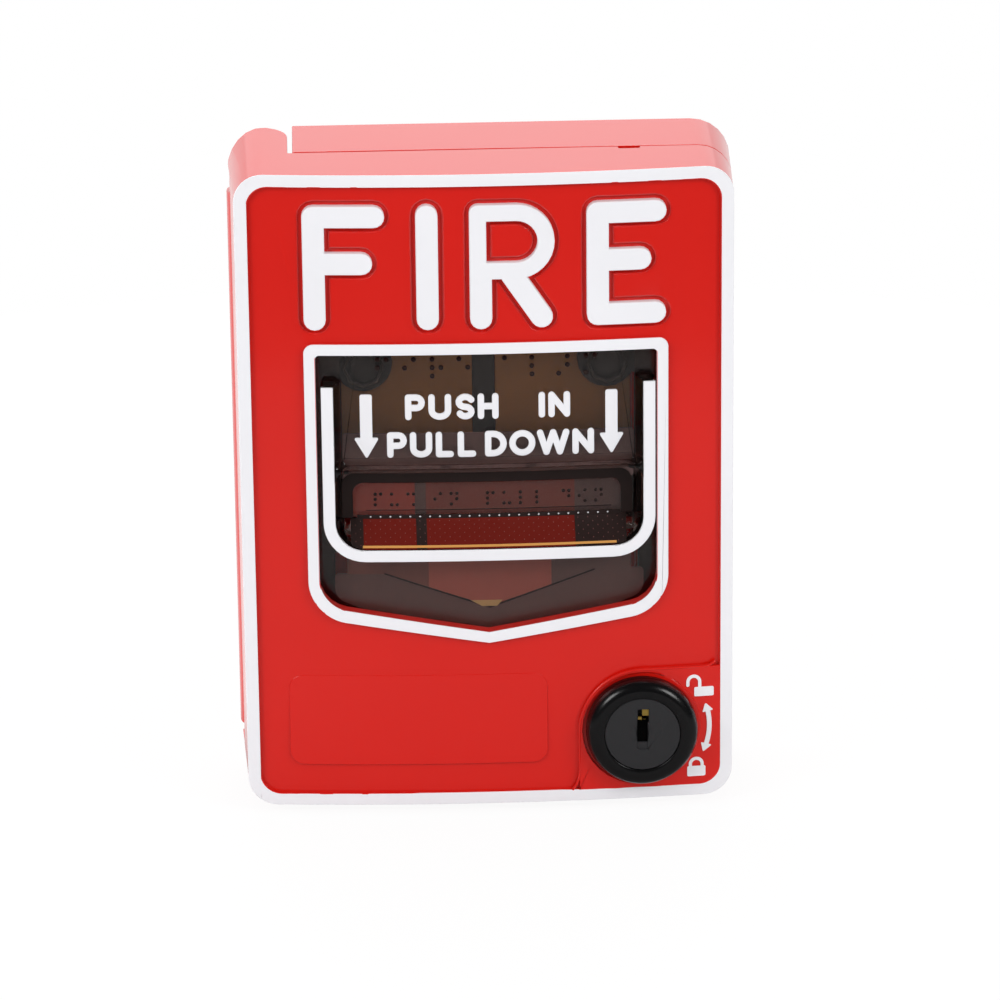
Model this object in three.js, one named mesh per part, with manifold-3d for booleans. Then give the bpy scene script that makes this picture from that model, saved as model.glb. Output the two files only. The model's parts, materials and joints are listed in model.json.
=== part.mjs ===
// Manual call point of the dual-action kind: push the handle in, then pull it down.
// Millimetres. The origin is the centre of the face that lies on the wall.
// +X is to the right, +Z is up, and +Y points into the wall, so the front faces -Y.
import * as THREE from "three";
import { mergeVertices } from "three/addons/utils/BufferGeometryUtils.js";
import Module from "manifold-3d";

const wasm = await Module();
wasm.setup();

// Driving dimensions of the housing
const width = 104.66;
const height = 139.7;
const depth = 35.3;
const draw = 1.8; // how far each side leans in between the wall and the front
const rearCorner = 8.3;
const frontCorner = 6;
const crownRadius = 397.6; // the front bulges about an upright axis
const crownSlabs = 12; // flat facets across the front
const seam = 18; // depth of the shell, where the door begins
const wall = 2.2;
const floor = 2.5;
const datum = 69.85; // the handle, the lock and what they work are laid out from this height above the bottom
const gap = 0.3; // between pieces that lie against each other
const running = 0.1; // radial clearance of a pin in its hole
const over = 4; // how far a cutting tool passes what it cuts
const weld = 1e-4;
const roundStep = Math.PI / 10;
const pinSides = 20;
const screwSides = 12;
const drumSides = 32; // on the lock and the hinge
const bezelSides = 40;
const nutSides = 6;
const tailSides = 4; // the square end that turns the cam
const coilSides = 5;
const coilSteps = 8; // to a turn

// Front bead, face and window
const bead = { width: 2.5, rise: 1, innerCorner: 4.25 };
const face = { thickness: 2.3 };
const windowBead = { width: 2.33, corner: 2 };
const win = { side: 17.43, top: 30.2, topCorner: 0.8, low: 24.1, lowCorner: 6.7, tip: 30 };

// Hinge on the left
const hinge = { inset: 5.63, depth: 7.4, barrel: 5.7, knuckle: 4.2, ear: 7.1, earLength: 7.35 };
const hingePin = { radius: 1.5, inBarrel: 9, inEar: 5 };
const doorEdge = { depth: 14.6, sweep: 4 }; // rear edge of the door's left wall
const slot = 1; // between an ear and the shell
const pryNotch = { side: 22.13, width: 4.4, depth: 1 };
const lip = { thickness: 1, height: 1.5, clearance: 0.5 };

// Lock
const lock = { side: 20.73, low: 17.35, seatRadius: 12.4, seatBack: 1.7 };
const lockPad = { reach: 13 }; // from the lock's axis to the pad's edges, and its corner
const bezel = { radius: 11.85, bore: 8.15, height: 4.45, seatBore: 10.7, seatHeight: 1.6, dish: 0.3 };
// The bezel's dome, in shares of its radius and height
const domeShares = [[1, 0.4], [0.97, 0.68], [0.89, 0.9], [0.8, 1], [0.74, 1]];
const barrel = { radius: 9.4, head: 10.4, bore: 5.5, toCam: 3 };
const plug = { face: 7.9, faceHeight: 2.5, shaft: 5.2, tail: 3, keyWidth: 2.2, keyHeight: 6.7 };
const keyway = { depth: 9, countersink: 2.8, dish: 0.5 };
const cam = { thickness: 2, width: 9, clearance: 0.41, behindSeam: 3.8 };
const camScrew = { head: 3.4, headHeight: 1.5, shank: 1.2, length: 5 };
const nut = { corners: 12.2, thickness: 2.8 };
const strike = { lipReach: 1.9, thickness: 1, width: 11, foot: 8 };
const wafer = { width: 1.5, height: 1.25, thickness: 0.8, pitch: 1.6, first: 1.1, count: 4 };

// Handle
const handle = {
  play: 0.35, drop: 3.6, thickness: 2.4, topLap: 2.8, sideLap: 3,
  pocketDepth: 6.2, pocketWall: 2.3,
};
const rim = { inset: 0.7, line: 2.45, top: 23.8, bottom: -14.3, corner: 8.5, topCorner: 0.5, lean: 1.6 };
const panel = { low: 5.5, corner: 1.5 };
const ridge = { front: 1, under: 4.65, flare: 2.5 };
const pad = { inset: 2.55, top: 0.95, low: -5.9, corner: 3, rise: 0.4 };
const slope = { top: -6.6, front: 0.6 };
const pivot = { back: 8.8, z: -36, radius: 1.25, past: 0.5, lug: 2.3 };
const lug = { inner: 8.5, thickness: 3.1, apart: 0.4 };
const pullTravel = 8.5;

// Slide that carries the handle
const slide = {
  back: 11.7, thickness: 2.2, inset: 9.2, top: 36, low: -33.5, corner: 3, rail: 5.7, sill: -23.4,
  lintel: 3, tongueEdge: 1.9, tongueLow: -38.6,
};
const pushSpring = { inset: 6.5, z: 25.5, radius: 4, wire: 0.7, turns: 4, seat: 6, peg: 2.6, pegHeight: 1.6 };
const pullSpring = { inset: 4, back: 10.3, radius: 1.9, wire: 0.6, turns: 9, belowTop: 10.3 };
const tab = { z: -14, thickness: 3, inset: 2.1, back: 9.4 };
const striker = { inset: 7.5, width: 4, slopeShare: 0.2, lead: 2, clearance: 0.45 };

// Plate that holds the slide in the door
const retainer = {
  back: 14.3, thickness: 2.2, side: 5.93, top: 36.8, low: -33.2, corner: 3,
  guide: 1.8, guideLow: 1, guideHeight: 2.4,
};
const hook = { thickness: 2.8, width: 3.8, inset: 2.1, back: 8.4 };
const boss = { radius: 2.8, inset: 3.2, edge: 3.6 };
const screw = { head: 2.6, headHeight: 1.3, shank: 1.2, length: 8 };
const flag = { inset: 1.5, low: 9.2, belowTop: 3.8, thickness: 1 };
const switchHole = { left: 5.6, right: 7, low: -26.5, high: 8 };
const shadowSlot = { left: -15, right: -13, low: -25, high: 8 };
const pawl = {
  x: -0.2, halfWidth: 2.1, low: 5, headHalf: 4.6, headHeight: 1.8, pivotZ: 6.6, thickness: 1.9, notch: 1.2,
};
const pawlPin = { radius: 0.7, halfLength: 5.2 };

// Electronics in the shell
const board = {
  leftSide: 19.33, rightSide: 16.33, low: -18, high: 36, front: 8.8, thickness: 1.6, corner: 1.5,
};
const post = { radius: 3, bore: 1.35, inset: 3.5 };
const moduleCover = { low: -3.2, front: 16, wall: 1.6, corner: 2 };
const terminal = { inset: 7, poles: 6, clearance: 7.8, low: -17, high: -6, front: 17, depth: 1.6, slot: 0.8 };
const terminalShares = { screw: 0.354, wire: 0.246 };
const dial = {
  inset: 12, pitch: 14, z: 14, radius: 3.6, height: 2.2, switchHalf: 5, switchFront: 13.6, slot: 0.9,
};
const led = { inset: 8, z: 24, radius: 1.5, front: 16.8 };
const microswitch = { halfWidth: 3.2, height: 12.8, front: 14.6, z: -10 };
const plunger = { z: -10, radius: 1.3, tip: 18.15, travelShare: 0.2 };
const wireEntry = { halfWidth: 19, low: -37, high: -21, corner: 3 };
const boxHoles = { pitch: 83.3, radius: 2.1, head: 4, keyDrop: 5 };

const red = { color: 0xcf2420, roughness: 0.42, metalness: 0 };
const smoked = { color: 0x3a2c28, roughness: 0.2, metalness: 0 };
const black = { color: 0x161616, roughness: 0.25, metalness: 0 };
const darkGrey = { color: 0x2a2a2c, roughness: 0.5, metalness: 0 };
const steel = { color: 0xa8aaad, roughness: 0.35, metalness: 1 };
const brass = { color: 0xd8b45a, roughness: 0.3, metalness: 1 };
const yellow = { color: 0xe8b020, roughness: 0.5, metalness: 0 };
const green = { color: 0x1f5a38, roughness: 0.45, metalness: 0 };
const white = { color: 0xe8e8e6, roughness: 0.45, metalness: 0 };
const clearRed = { color: 0xd04030, roughness: 0.2, metalness: 0 };

const hingeX = hinge.inset - width / 2;
const hingeY = -hinge.depth;
const earInner = height / 2 - hinge.earLength;
const shellCorner = earInner - slot / 2;
const earRight = hingeX + hinge.ear;
const halfW = width / 2;
const halfH = height / 2;
const far = height;
const seatY = lock.seatBack - depth;
const deckUp = datum - halfH; // from the middle of the housing up to the datum

// Where the pieces stand across the housing
const lockX = halfW - lock.side;
const lockZ = lock.low - datum;
const winX = halfW - win.side;
const retainerX = halfW - retainer.side;
const flagHigh = retainer.top - flag.belowTop;
const slideX = retainerX - slide.inset;
const openX = slideX - slide.rail;
const pushX = openX - pushSpring.inset;
const pullX = retainerX - pullSpring.inset;
const pullY = pullSpring.back - depth;
const pullTop = retainer.top - pullSpring.belowTop;
const strikerX = openX - striker.inset;
const flagX = openX - flag.inset;
const boardLeft = board.leftSide - halfW;
const boardRight = halfW - board.rightSide;

// A closed mesh as a solid, with its faces turned out.
function solid(geometry) {
  const loose = geometry.index ? geometry.toNonIndexed() : geometry;
  const bare = new THREE.BufferGeometry().setAttribute("position", loose.getAttribute("position"));
  const merged = mergeVertices(bare, weld);
  const triVerts = new Uint32Array(merged.index.array);
  const vertProperties = merged.attributes.position.array;
  const made = new wasm.Manifold(new wasm.Mesh({ numProp: 3, vertProperties, triVerts }));
  if (made.volume() > 0) return made;
  for (let i = 0; i < triVerts.length; i += 3) {
    [triVerts[i + 1], triVerts[i + 2]] = [triVerts[i + 2], triVerts[i + 1]];
  }
  return new wasm.Manifold(new wasm.Mesh({ numProp: 3, vertProperties, triVerts }));
}

// A solid as a geometry that three.js can hold.
function geometryOf(body) {
  const mesh = body.getMesh();
  const geometry = new THREE.BufferGeometry();
  geometry.setAttribute("position", new THREE.BufferAttribute(mesh.vertProperties, 3));
  geometry.setIndex(new THREE.BufferAttribute(mesh.triVerts, 1));
  return geometry;
}

// Two distances on one side of the middle, the lower number first.
const span = (side, from, to) => (side > 0 ? [from, to] : [-to, -from]);

const join = (...bodies) => bodies.reduce((a, b) => a.add(b));
const cut = (body, ...tools) => tools.reduce((a, b) => a.subtract(b), body);
const common = (...bodies) => bodies.reduce((a, b) => a.intersect(b));

// A closed outline from corners of [across, up, radius].
function outline(corners) {
  const count = corners.length;
  const points = [];
  corners.forEach(([u, v, radius = 0], i) => {
    const corner = new THREE.Vector2(u, v);
    if (radius === 0) {
      points.push(corner);
      return;
    }
    const back = new THREE.Vector2(...corners[(i + count - 1) % count]).sub(corner).normalize();
    const on = new THREE.Vector2(...corners[(i + 1) % count]).sub(corner).normalize();
    const half = Math.acos(back.dot(on)) / 2;
    const centre = back.clone().add(on).normalize().multiplyScalar(radius / Math.sin(half)).add(corner);
    const from = back.multiplyScalar(radius / Math.tan(half)).add(corner).sub(centre);
    const to = on.multiplyScalar(radius / Math.tan(half)).add(corner).sub(centre);
    const turn = Math.atan2(from.cross(to), from.dot(to));
    const steps = Math.max(2, Math.ceil(Math.abs(turn) / roundStep));
    for (let k = 0; k <= steps; k++) {
      points.push(from.clone().rotateAround(new THREE.Vector2(), (turn * k) / steps).add(centre));
    }
  });
  return new THREE.Shape(points);
}

function rectangle(left, right, low, high, radius = 0) {
  return outline([[left, low, radius], [right, low, radius], [right, high, radius], [left, high, radius]]);
}

function disc(u, v, radius, sides = pinSides) {
  const points = [];
  for (let k = 0; k < sides; k++) {
    const angle = (2 * Math.PI * k) / sides;
    points.push(new THREE.Vector2(u + radius * Math.cos(angle), v + radius * Math.sin(angle)));
  }
  return new THREE.Shape(points);
}

// An outline made solid along an axis. It is drawn in (x, z) for y, in (x, y) for z and in (y, z) for x.
function prism(axis, shape, low, high) {
  const geometry = new THREE.ExtrudeGeometry(shape, { depth: high - low, bevelEnabled: false });
  if (axis === "y") {
    geometry.translate(0, 0, -high);
    geometry.rotateX(Math.PI / 2);
    return solid(geometry);
  }
  geometry.translate(0, 0, low);
  if (axis === "x") {
    geometry.applyMatrix4(new THREE.Matrix4().makeBasis(
      new THREE.Vector3(0, 1, 0), new THREE.Vector3(0, 0, 1), new THREE.Vector3(1, 0, 0)));
  }
  return solid(geometry);
}

function block(x0, x1, y0, y1, z0, z1) {
  return prism("y", rectangle(x0, x1, z0, z1), y0, y1);
}

// A prism along y whose front outline is drawn out or in about a height, for a leaning wall.
function leaning(shape, low, high, lean, halfWidth, centreZ) {
  const geometry = new THREE.ExtrudeGeometry(shape, { depth: high - low, bevelEnabled: false });
  geometry.translate(0, 0, -high);
  geometry.rotateX(Math.PI / 2);
  const at = geometry.getAttribute("position");
  for (let i = 0; i < at.count; i++) {
    const share = (high - at.getY(i)) / (high - low);
    const factor = 1 + (share * lean) / halfWidth;
    at.setX(i, at.getX(i) * factor);
    at.setZ(i, centreZ + (at.getZ(i) - centreZ) * factor);
  }
  return solid(geometry);
}

// The housing's outer form, or the form a wall inside it, between two depths.
function housing(inset, front, rear) {
  const rearRadius = rearCorner - inset;
  const frontRadius = frontCorner - inset;
  const rearX = halfW - inset - rearRadius;
  const rearZ = halfH - inset - rearRadius;
  const shape = rectangle(inset - halfW, halfW - inset, inset - halfH, halfH - inset, rearRadius);
  const geometry = new THREE.ExtrudeGeometry(shape, { depth: rear - front, bevelEnabled: false });
  geometry.translate(0, 0, -rear);
  geometry.rotateX(Math.PI / 2);
  const at = geometry.getAttribute("position");
  for (let i = 0; i < at.count; i++) {
    const share = -at.getY(i) / depth;
    const radius = rearRadius + (frontRadius - rearRadius) * share;
    const x = at.getX(i);
    const z = at.getZ(i);
    const cos = (Math.abs(x) - rearX) / rearRadius;
    const sin = (Math.abs(z) - rearZ) / rearRadius;
    at.setX(i, Math.sign(x) * (halfW - inset - draw * share - radius + radius * cos));
    at.setZ(i, Math.sign(z) * (halfH - inset - draw * share - radius + radius * sin));
  }
  return solid(geometry);
}

// The crown of the front: how far back it lies at x, in flat facets.
const slabWidth = width / crownSlabs;
const crownNodes = [];
for (let i = 0; i <= crownSlabs; i++) {
  crownNodes.push(slabWidth * i - halfW);
}
const arcBack = (x) => crownRadius - Math.sqrt(crownRadius ** 2 - x ** 2);
function crownBack(x) {
  const i = Math.min(crownSlabs - 1, Math.max(0, Math.floor((x + halfW) / slabWidth)));
  const share = (x - crownNodes[i]) / slabWidth;
  return arcBack(crownNodes[i]) * (1 - share) + arcBack(crownNodes[i + 1]) * share;
}

// The layer between two depths below the crowned front.
function layer(upper, lower) {
  const front = crownNodes.map((x) => new THREE.Vector2(x, arcBack(x) + upper - depth));
  const rear = crownNodes.map((x) => new THREE.Vector2(x, arcBack(x) + lower - depth)).reverse();
  return prism("z", new THREE.Shape([...front, ...rear]), -far, far);
}

// A solid drawn on a flat front, bent to the crown slab by slab.
function crowned(body) {
  const bent = [];
  for (let i = 0; i < crownSlabs; i++) {
    const piece = body.intersect(block(crownNodes[i], crownNodes[i + 1], -far, far, -far, far));
    if (piece.isEmpty()) continue;
    const geometry = geometryOf(piece);
    const at = geometry.getAttribute("position");
    for (let k = 0; k < at.count; k++) {
      at.setY(k, at.getY(k) + crownBack(at.getX(k)));
    }
    bent.push(solid(geometry));
  }
  return join(...bent);
}

// A coil spring of round wire about the line through its two ends.
function coil(start, end, radius, wire, turns) {
  const from = new THREE.Vector3(...start);
  const to = new THREE.Vector3(...end);
  const along = to.clone().sub(from);
  const upright = Math.abs(along.z) > Math.abs(along.y);
  const side = upright ? new THREE.Vector3(1, 0, 0) : new THREE.Vector3(0, 0, 1);
  const other = along.clone().normalize().cross(side);
  class Helix extends THREE.Curve {
    getPoint(t, target = new THREE.Vector3()) {
      const angle = 2 * Math.PI * turns * t;
      return target.copy(from).addScaledVector(along, t)
        .addScaledVector(side, radius * Math.cos(angle)).addScaledVector(other, radius * Math.sin(angle));
    }
  }
  const section = disc(0, 0, wire / 2, coilSides);
  const steps = turns * coilSteps;
  return solid(new THREE.ExtrudeGeometry(section, { steps, extrudePath: new Helix(), bevelEnabled: false }));
}

// A turned piece about the lock's axis, from [radius, height above the lock's seat] points.
function turned(profile, sides = drumSides) {
  const points = profile.map(([radius, up]) => new THREE.Vector2(radius, seatY - up));
  const geometry = new THREE.LatheGeometry([...points, points[0]], sides);
  geometry.translate(lockX, 0, lockZ);
  return solid(geometry);
}

const part = new THREE.Group();
function add(name, body, finish) {
  const geometry = geometryOf(body.translate(0, 0, deckUp)).toNonIndexed();
  geometry.computeVertexNormals();
  const mesh = new THREE.Mesh(geometry, new THREE.MeshStandardMaterial(finish));
  mesh.name = name;
  part.add(mesh);
}

// The window's outline grown by an amount, with pointed lower edge and rounded corners.
function windowShape(grow, corner, top = win.top + grow) {
  const x = winX + grow;
  const low = -win.low - grow;
  return outline([
    [-x, low, win.lowCorner + grow], [0, -win.tip - grow], [x, low, win.lowCorner + grow],
    [x, top, corner], [-x, top, corner],
  ]);
}

// Back shell: floor, three walls, the hinge barrel on the left and the module's posts
const shellFloor = -floor;
const shellLeft = earRight + slot;
const inner = housing(wall, -depth, over);
const cornerKeep = join(...[1, -1].map((side) => block(
  -halfW - over, shellLeft + wall, -depth, over, ...span(side, shellCorner - wall, halfH + over))));
const shellCavity = cut(
  common(inner, block(-halfW, halfW, -seam - over, shellFloor, -halfH, halfH)), cornerKeep);
let shell = cut(
  housing(0, -seam, 0),
  shellCavity,
  block(-halfW - over, hingeX, -seam - over, over, -halfH - over, halfH + over),
  block(-halfW - over, hingeX + hinge.barrel, -seam - over, hingeY, -halfH - over, halfH + over),
  ...[1, -1].map((side) => block(
    -halfW - over, shellLeft, -depth, over, ...span(side, shellCorner, halfH + over))),
);
const barrelHalf = earInner - doorEdge.sweep;
const lipOuter = housing(wall + lip.clearance, -seam - lip.height, -seam + wall);
const lipInner = housing(wall + lip.clearance + lip.thickness, -depth, over);
const lipShoulder = common(
  cut(housing(wall - lip.clearance, -seam, -seam + wall), lipInner),
  block(shellLeft, halfW, -depth, 0, -halfH, halfH));
const lipRing = common(
  cut(lipOuter, lipInner), block(shellLeft + wall, halfW, -depth, 0, -halfH, halfH));
const pinLow = shellCorner - hingePin.inBarrel;
const pinHigh = earInner + hingePin.inEar;
const pinHoles = [1, -1].map((side) => prism(
  "z", disc(hingeX, hingeY, hingePin.radius + running), ...span(side, pinLow - gap, shellCorner + over)));
shell = join(
  shell, lipRing, lipShoulder,
  prism("z", disc(hingeX, hingeY, hinge.barrel, drumSides), -barrelHalf, barrelHalf),
  prism("z", disc(hingeX, hingeY, hinge.knuckle), -shellCorner, shellCorner),
  block(hingeX, hingeX + hinge.knuckle, hingeY, 0, -shellCorner, shellCorner),
);
shell = cut(shell, ...pinHoles).translate(0, 0, -deckUp);

// The module stands on four posts and is held by four screws
const boardRear = -board.front + board.thickness;
const postsAt = [
  [boardLeft + post.inset, board.low + post.inset], [boardRight - post.inset, board.low + post.inset],
  [boardLeft + post.inset, board.high - post.inset], [boardRight - post.inset, board.high - post.inset],
];
for (const [x, z] of postsAt) {
  shell = join(shell, prism("y", disc(x, z, post.radius), boardRear + gap, shellFloor + gap));
  shell = cut(shell, prism("y", disc(x, z, post.bore), boardRear, -gap));
}

// Way in for the field wires, and the two holes of a standard wall box
const wireHole = rectangle(
  -wireEntry.halfWidth, wireEntry.halfWidth, wireEntry.low, wireEntry.high, wireEntry.corner);
shell = cut(shell, prism("y", wireHole, -floor - over, over));
for (const side of [1, -1]) {
  const z = (side * boxHoles.pitch) / 2 - deckUp;
  shell = cut(
    shell,
    prism("y", disc(0, z, boxHoles.radius), -floor - over, over),
    prism("y", disc(0, z - boxHoles.keyDrop, boxHoles.head), -floor - over, over),
    block(-boxHoles.radius, boxHoles.radius, -floor - over, over, z - boxHoles.keyDrop, z),
  );
}

// Strike for the lock's cam: a folded plate on the floor by the right wall
const strikeWall = halfW - (draw * seam) / depth - wall - lip.clearance - lip.thickness - gap;
const strikeLeft = strikeWall - strike.lipReach;
const strikeLow = lockZ - strike.width / 2;
const strikeHigh = lockZ + strike.width / 2;
const strikeScrew = [strikeWall - strike.foot / 2, lockZ];
const strikeFoot = shellFloor - gap;
const strikeSeat = strikeFoot - strike.thickness - gap;
const strikeBody = cut(
  join(
    block(strikeWall - strike.thickness, strikeWall, gap - seam, strikeFoot, strikeLow, strikeHigh),
    block(strikeLeft, strikeWall, gap - seam, gap - seam + strike.thickness, strikeLow, strikeHigh),
    block(strikeWall - strike.foot, strikeWall, strikeFoot - strike.thickness, strikeFoot,
      strikeLow, strikeHigh),
  ),
  prism("y", disc(...strikeScrew, screw.shank + gap), -far, 0),
);
shell = cut(shell, prism("y", disc(...strikeScrew, screw.shank + running), -floor - over, -gap));
add("back_shell", shell, red);
add("lock_strike", strikeBody, steel);
add("strike_screw", join(
  prism("y", disc(...strikeScrew, screw.head, screwSides), strikeSeat - screw.headHeight, strikeSeat),
  prism("y", disc(...strikeScrew, screw.shank, screwSides), strikeSeat - running, -2 * gap)), steel);

// Hinge pins
for (const [name, side] of [["upper_hinge_pin", 1], ["lower_hinge_pin", -1]]) {
  const pin = prism("z", disc(hingeX, hingeY, hingePin.radius), ...span(side, pinLow, pinHigh));
  add(name, pin.translate(0, 0, -deckUp), steel);
}

// Circuit board with its parts
let boardBody = prism("y", rectangle(boardLeft, boardRight, board.low, board.high, board.corner),
  -board.front, boardRear);
const coverTop = -moduleCover.front;
let coverBody = prism("y", rectangle(
  boardLeft, boardRight, moduleCover.low, board.high, moduleCover.corner), coverTop, -board.front - gap);
const coverPost = post.radius + post.inset / 2;
let coverHollow = block(boardLeft + moduleCover.wall, boardRight - moduleCover.wall,
  coverTop + moduleCover.wall, 0, moduleCover.low + moduleCover.wall, board.high - moduleCover.wall);
for (const [x, z] of postsAt.slice(2)) {
  coverHollow = cut(coverHollow, block(x - coverPost, x + coverPost, -far, 0, z - coverPost, z + coverPost));
}
coverBody = cut(coverBody, coverHollow);
const moduleScrews = postsAt.map(([x, z]) => {
  const headSeat = z > 0 ? coverTop + moduleCover.wall : -board.front - gap;
  boardBody = cut(boardBody, prism("y", disc(x, z, screw.shank + gap), -far, 0));
  coverBody = cut(coverBody, prism("y", disc(x, z, screw.shank + gap), -far, 0),
    prism("y", disc(x, z, screw.head + gap), -far, headSeat));
  return join(
    prism("y", disc(x, z, screw.head, screwSides), headSeat - gap - screw.headHeight, headSeat - gap),
    prism("y", disc(x, z, screw.shank, screwSides), headSeat - gap - running, -floor - gap));
});
const dialsAt = [boardLeft + dial.inset, boardLeft + dial.inset + dial.pitch];
const dialHoles = dialsAt.map((x) => prism("y", disc(x, dial.z, dial.radius + gap), -far, 0));
const ledX = boardRight - led.inset;
coverBody = cut(coverBody, ...dialHoles, prism("y", disc(ledX, led.z, led.radius + gap), -far, 0));
add("circuit_board", boardBody, green);
add("module_cover", coverBody, black);
moduleScrews.forEach((body, i) => add(`module_screw_${i + 1}`, body, steel));
dialsAt.forEach((x, i) => {
  const name = ["tens", "units"][i];
  const slotFloor = -dial.switchFront - dial.height / 2;
  add(`address_switch_${name}`, block(
    x - dial.switchHalf, x + dial.switchHalf, -dial.switchFront, -board.front - gap,
    dial.z - dial.switchHalf, dial.z + dial.switchHalf), white);
  add(`address_dial_${name}`, cut(
    prism("y", disc(x, dial.z, dial.radius), -dial.switchFront - gap - dial.height, -dial.switchFront - gap),
    block(x - dial.slot / 2, x + dial.slot / 2, -far, slotFloor,
      dial.z - dial.radius / 2, dial.z + dial.radius),
    block(x - dial.radius / 2, x + dial.radius / 2, -far, slotFloor,
      dial.z - dial.slot / 2, dial.z + dial.slot / 2),
  ), white);
});
const ledFoot = -board.front - gap;
add("status_led", join(
  prism("y", disc(ledX, led.z, led.radius, screwSides), -led.front, ledFoot),
  prism("y", disc(ledX, led.z, led.radius + gap, screwSides), ledFoot - gap, ledFoot)), clearRed);

// Terminal block with a screw and a wire way for each pole. The poles share the room beside the
// microswitch.
const terminalFront = -terminal.front;
const terminalLeft = boardLeft + terminal.inset;
const terminalRoom = strikerX - microswitch.halfWidth - terminal.clearance - terminalLeft;
const terminalPitch = terminalRoom / terminal.poles;
const screwRadius = terminalPitch * terminalShares.screw;
const wayHalf = terminalPitch * terminalShares.wire;
const wayFront = -board.front - 3 * terminal.depth;
const wayRear = -board.front - terminal.depth;
const screwPit = -board.front - 2 * terminal.depth;
let terminalBody = block(terminalLeft, terminalLeft + terminalRoom,
  terminalFront, -board.front - gap, terminal.low, terminal.high);
const terminalScrews = [];
for (let i = 0; i < terminal.poles; i++) {
  const x = terminalLeft + terminalPitch * (i + 1 / 2);
  const z = (terminal.low + terminal.high) / 2;
  terminalBody = cut(
    terminalBody,
    prism("y", disc(x, z, screwRadius + gap, screwSides), terminalFront - over, screwPit),
    block(x - wayHalf, x + wayHalf, wayFront, wayRear, terminal.low - over, z),
  );
  const head = terminalFront + terminal.depth;
  terminalScrews.push(cut(
    prism("y", disc(x, z, screwRadius, screwSides), head, screwPit - gap),
    block(x - screwRadius, x + screwRadius, terminalFront, head + terminal.slot,
      z - terminal.slot / 2, z + terminal.slot / 2),
  ));
}
add("terminal_block", terminalBody, darkGrey);
terminalScrews.forEach((body, i) => add(`terminal_screw_${i + 1}`, body, steel));

// Microswitch, and its plunger that the striker presses
const switchHalf = microswitch.height / 2;
add("microswitch_body", cut(
  block(strikerX - microswitch.halfWidth, strikerX + microswitch.halfWidth, -microswitch.front,
    -board.front - gap, microswitch.z - switchHalf, microswitch.z + switchHalf),
  prism("y", disc(strikerX, plunger.z, plunger.radius + running), -seam, -board.front - 2 * plunger.radius),
), black);
add("switch_plunger", join(
  prism("y", disc(strikerX, plunger.z, plunger.radius), plunger.radius / 2 - plunger.tip,
    -board.front - 2 * plunger.radius - pullTravel * plunger.travelShare - gap),
  prism("y", disc(strikerX, plunger.z, plunger.radius / 2), -plunger.tip, -plunger.tip + plunger.radius),
), white);

// Front cover: crowned face, side walls, beads, lock seat and hinge ears
const doorRear = -seam - gap;
const behindTop = layer(0, depth + far);
const outer = common(housing(0, -depth, doorRear), behindTop);
const faceFloor = bead.rise + face.thickness;
const doorCavity = common(housing(wall, -depth, doorRear + over), layer(faceFloor, depth + far));
const beadInnerX = halfW - draw - bead.width;
const beadInnerZ = halfH - draw - bead.width;
const faceRecess = common(
  prism("y", rectangle(-beadInnerX, beadInnerX, -beadInnerZ, beadInnerZ, bead.innerCorner), -far, 0),
  layer(-far, bead.rise));
const padLeft = lockX - lockPad.reach;
const padRight = beadInnerX + bead.width / 2;
const padLow = -beadInnerZ - bead.width / 2 - deckUp;
const padHigh = lockZ + lockPad.reach;
const lockPadBody = common(
  prism("y", outline([
    [padLeft, padLow], [padRight, padLow], [padRight, padHigh], [padLeft, padHigh, lockPad.reach],
  ]), -far, 0),
  housing(0, -depth, doorRear).translate(0, 0, -deckUp), layer(0, faceFloor));
const windowBeadBody = common(
  prism("y", windowShape(windowBead.width, windowBead.corner), -far, 0), layer(0, faceFloor));
const leftWall = common(
  cut(housing(0, -depth, over), housing(wall, -depth, over)),
  prism("x", outline([
    [-seam - wall, -halfH], [hingeY, -halfH], [hingeY, -earInner],
    [-doorEdge.depth, -earInner, doorEdge.sweep], [-doorEdge.depth, earInner, doorEdge.sweep],
    [hingeY, earInner], [hingeY, halfH], [-seam - wall, halfH],
  ]), -halfW - over, hingeX - gap));
const ears = [1, -1].map((side) => {
  const ends = span(side, earInner, halfH + over);
  const plan = join(
    prism("z", disc(hingeX, hingeY, hinge.ear, drumSides), ...ends),
    block(-halfW - over, earRight, -seam - 2 * wall, hingeY, ...ends));
  return common(plan, housing(0, -depth, 0));
});
const earHoles = [1, -1].map((side) => prism(
  "z", disc(hingeX, hingeY, hingePin.radius + running), ...span(side, earInner - over, pinHigh + gap)));
const pryX = halfW - pryNotch.side;
const seatRear = faceFloor - depth + crownBack(lockX + lock.seatRadius) + gap;
const seat = prism("y", disc(lockX, lockZ, lock.seatRadius, drumSides), seatY, seatRear);
const retFront = retainer.back - depth;
const bossRear = retFront - gap;
const bossX = retainerX - boss.inset;
const bossHigh = retainer.top - boss.edge;
const bossLow = retainer.low + boss.edge;
const bossesAt = [[bossX, bossHigh], [-bossX, bossHigh], [bossX, bossLow], [-bossX, bossLow]];
const bosses = bossesAt.map(([x, z]) => common(
  prism("y", disc(x, z, boss.radius), -depth, bossRear), layer(faceFloor - bead.rise / 2, depth)));
const frame = cut(
  join(cut(outer, doorCavity, faceRecess), leftWall, ...ears),
  ...earHoles,
  block(pryX - pryNotch.width / 2, pryX + pryNotch.width / 2, doorRear - pryNotch.depth, doorRear + over,
    halfH - wall - draw, halfH + over),
);
let door = cut(
  join(frame.translate(0, 0, -deckUp), lockPadBody, windowBeadBody, ...bosses),
  prism("y", windowShape(0, win.topCorner), -far, bossRear - over),
  prism("y", disc(lockX, lockZ, lock.seatRadius, drumSides), -far, seatY),
  ...bossesAt.map(([x, z]) => prism("y", disc(x, z, screw.shank + running), bossRear - screw.length, over)),
);
door = cut(join(door, seat), prism("y", disc(lockX, lockZ, barrel.radius + gap, drumSides), -far, doorRear));
add("front_cover", door, red);

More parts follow.
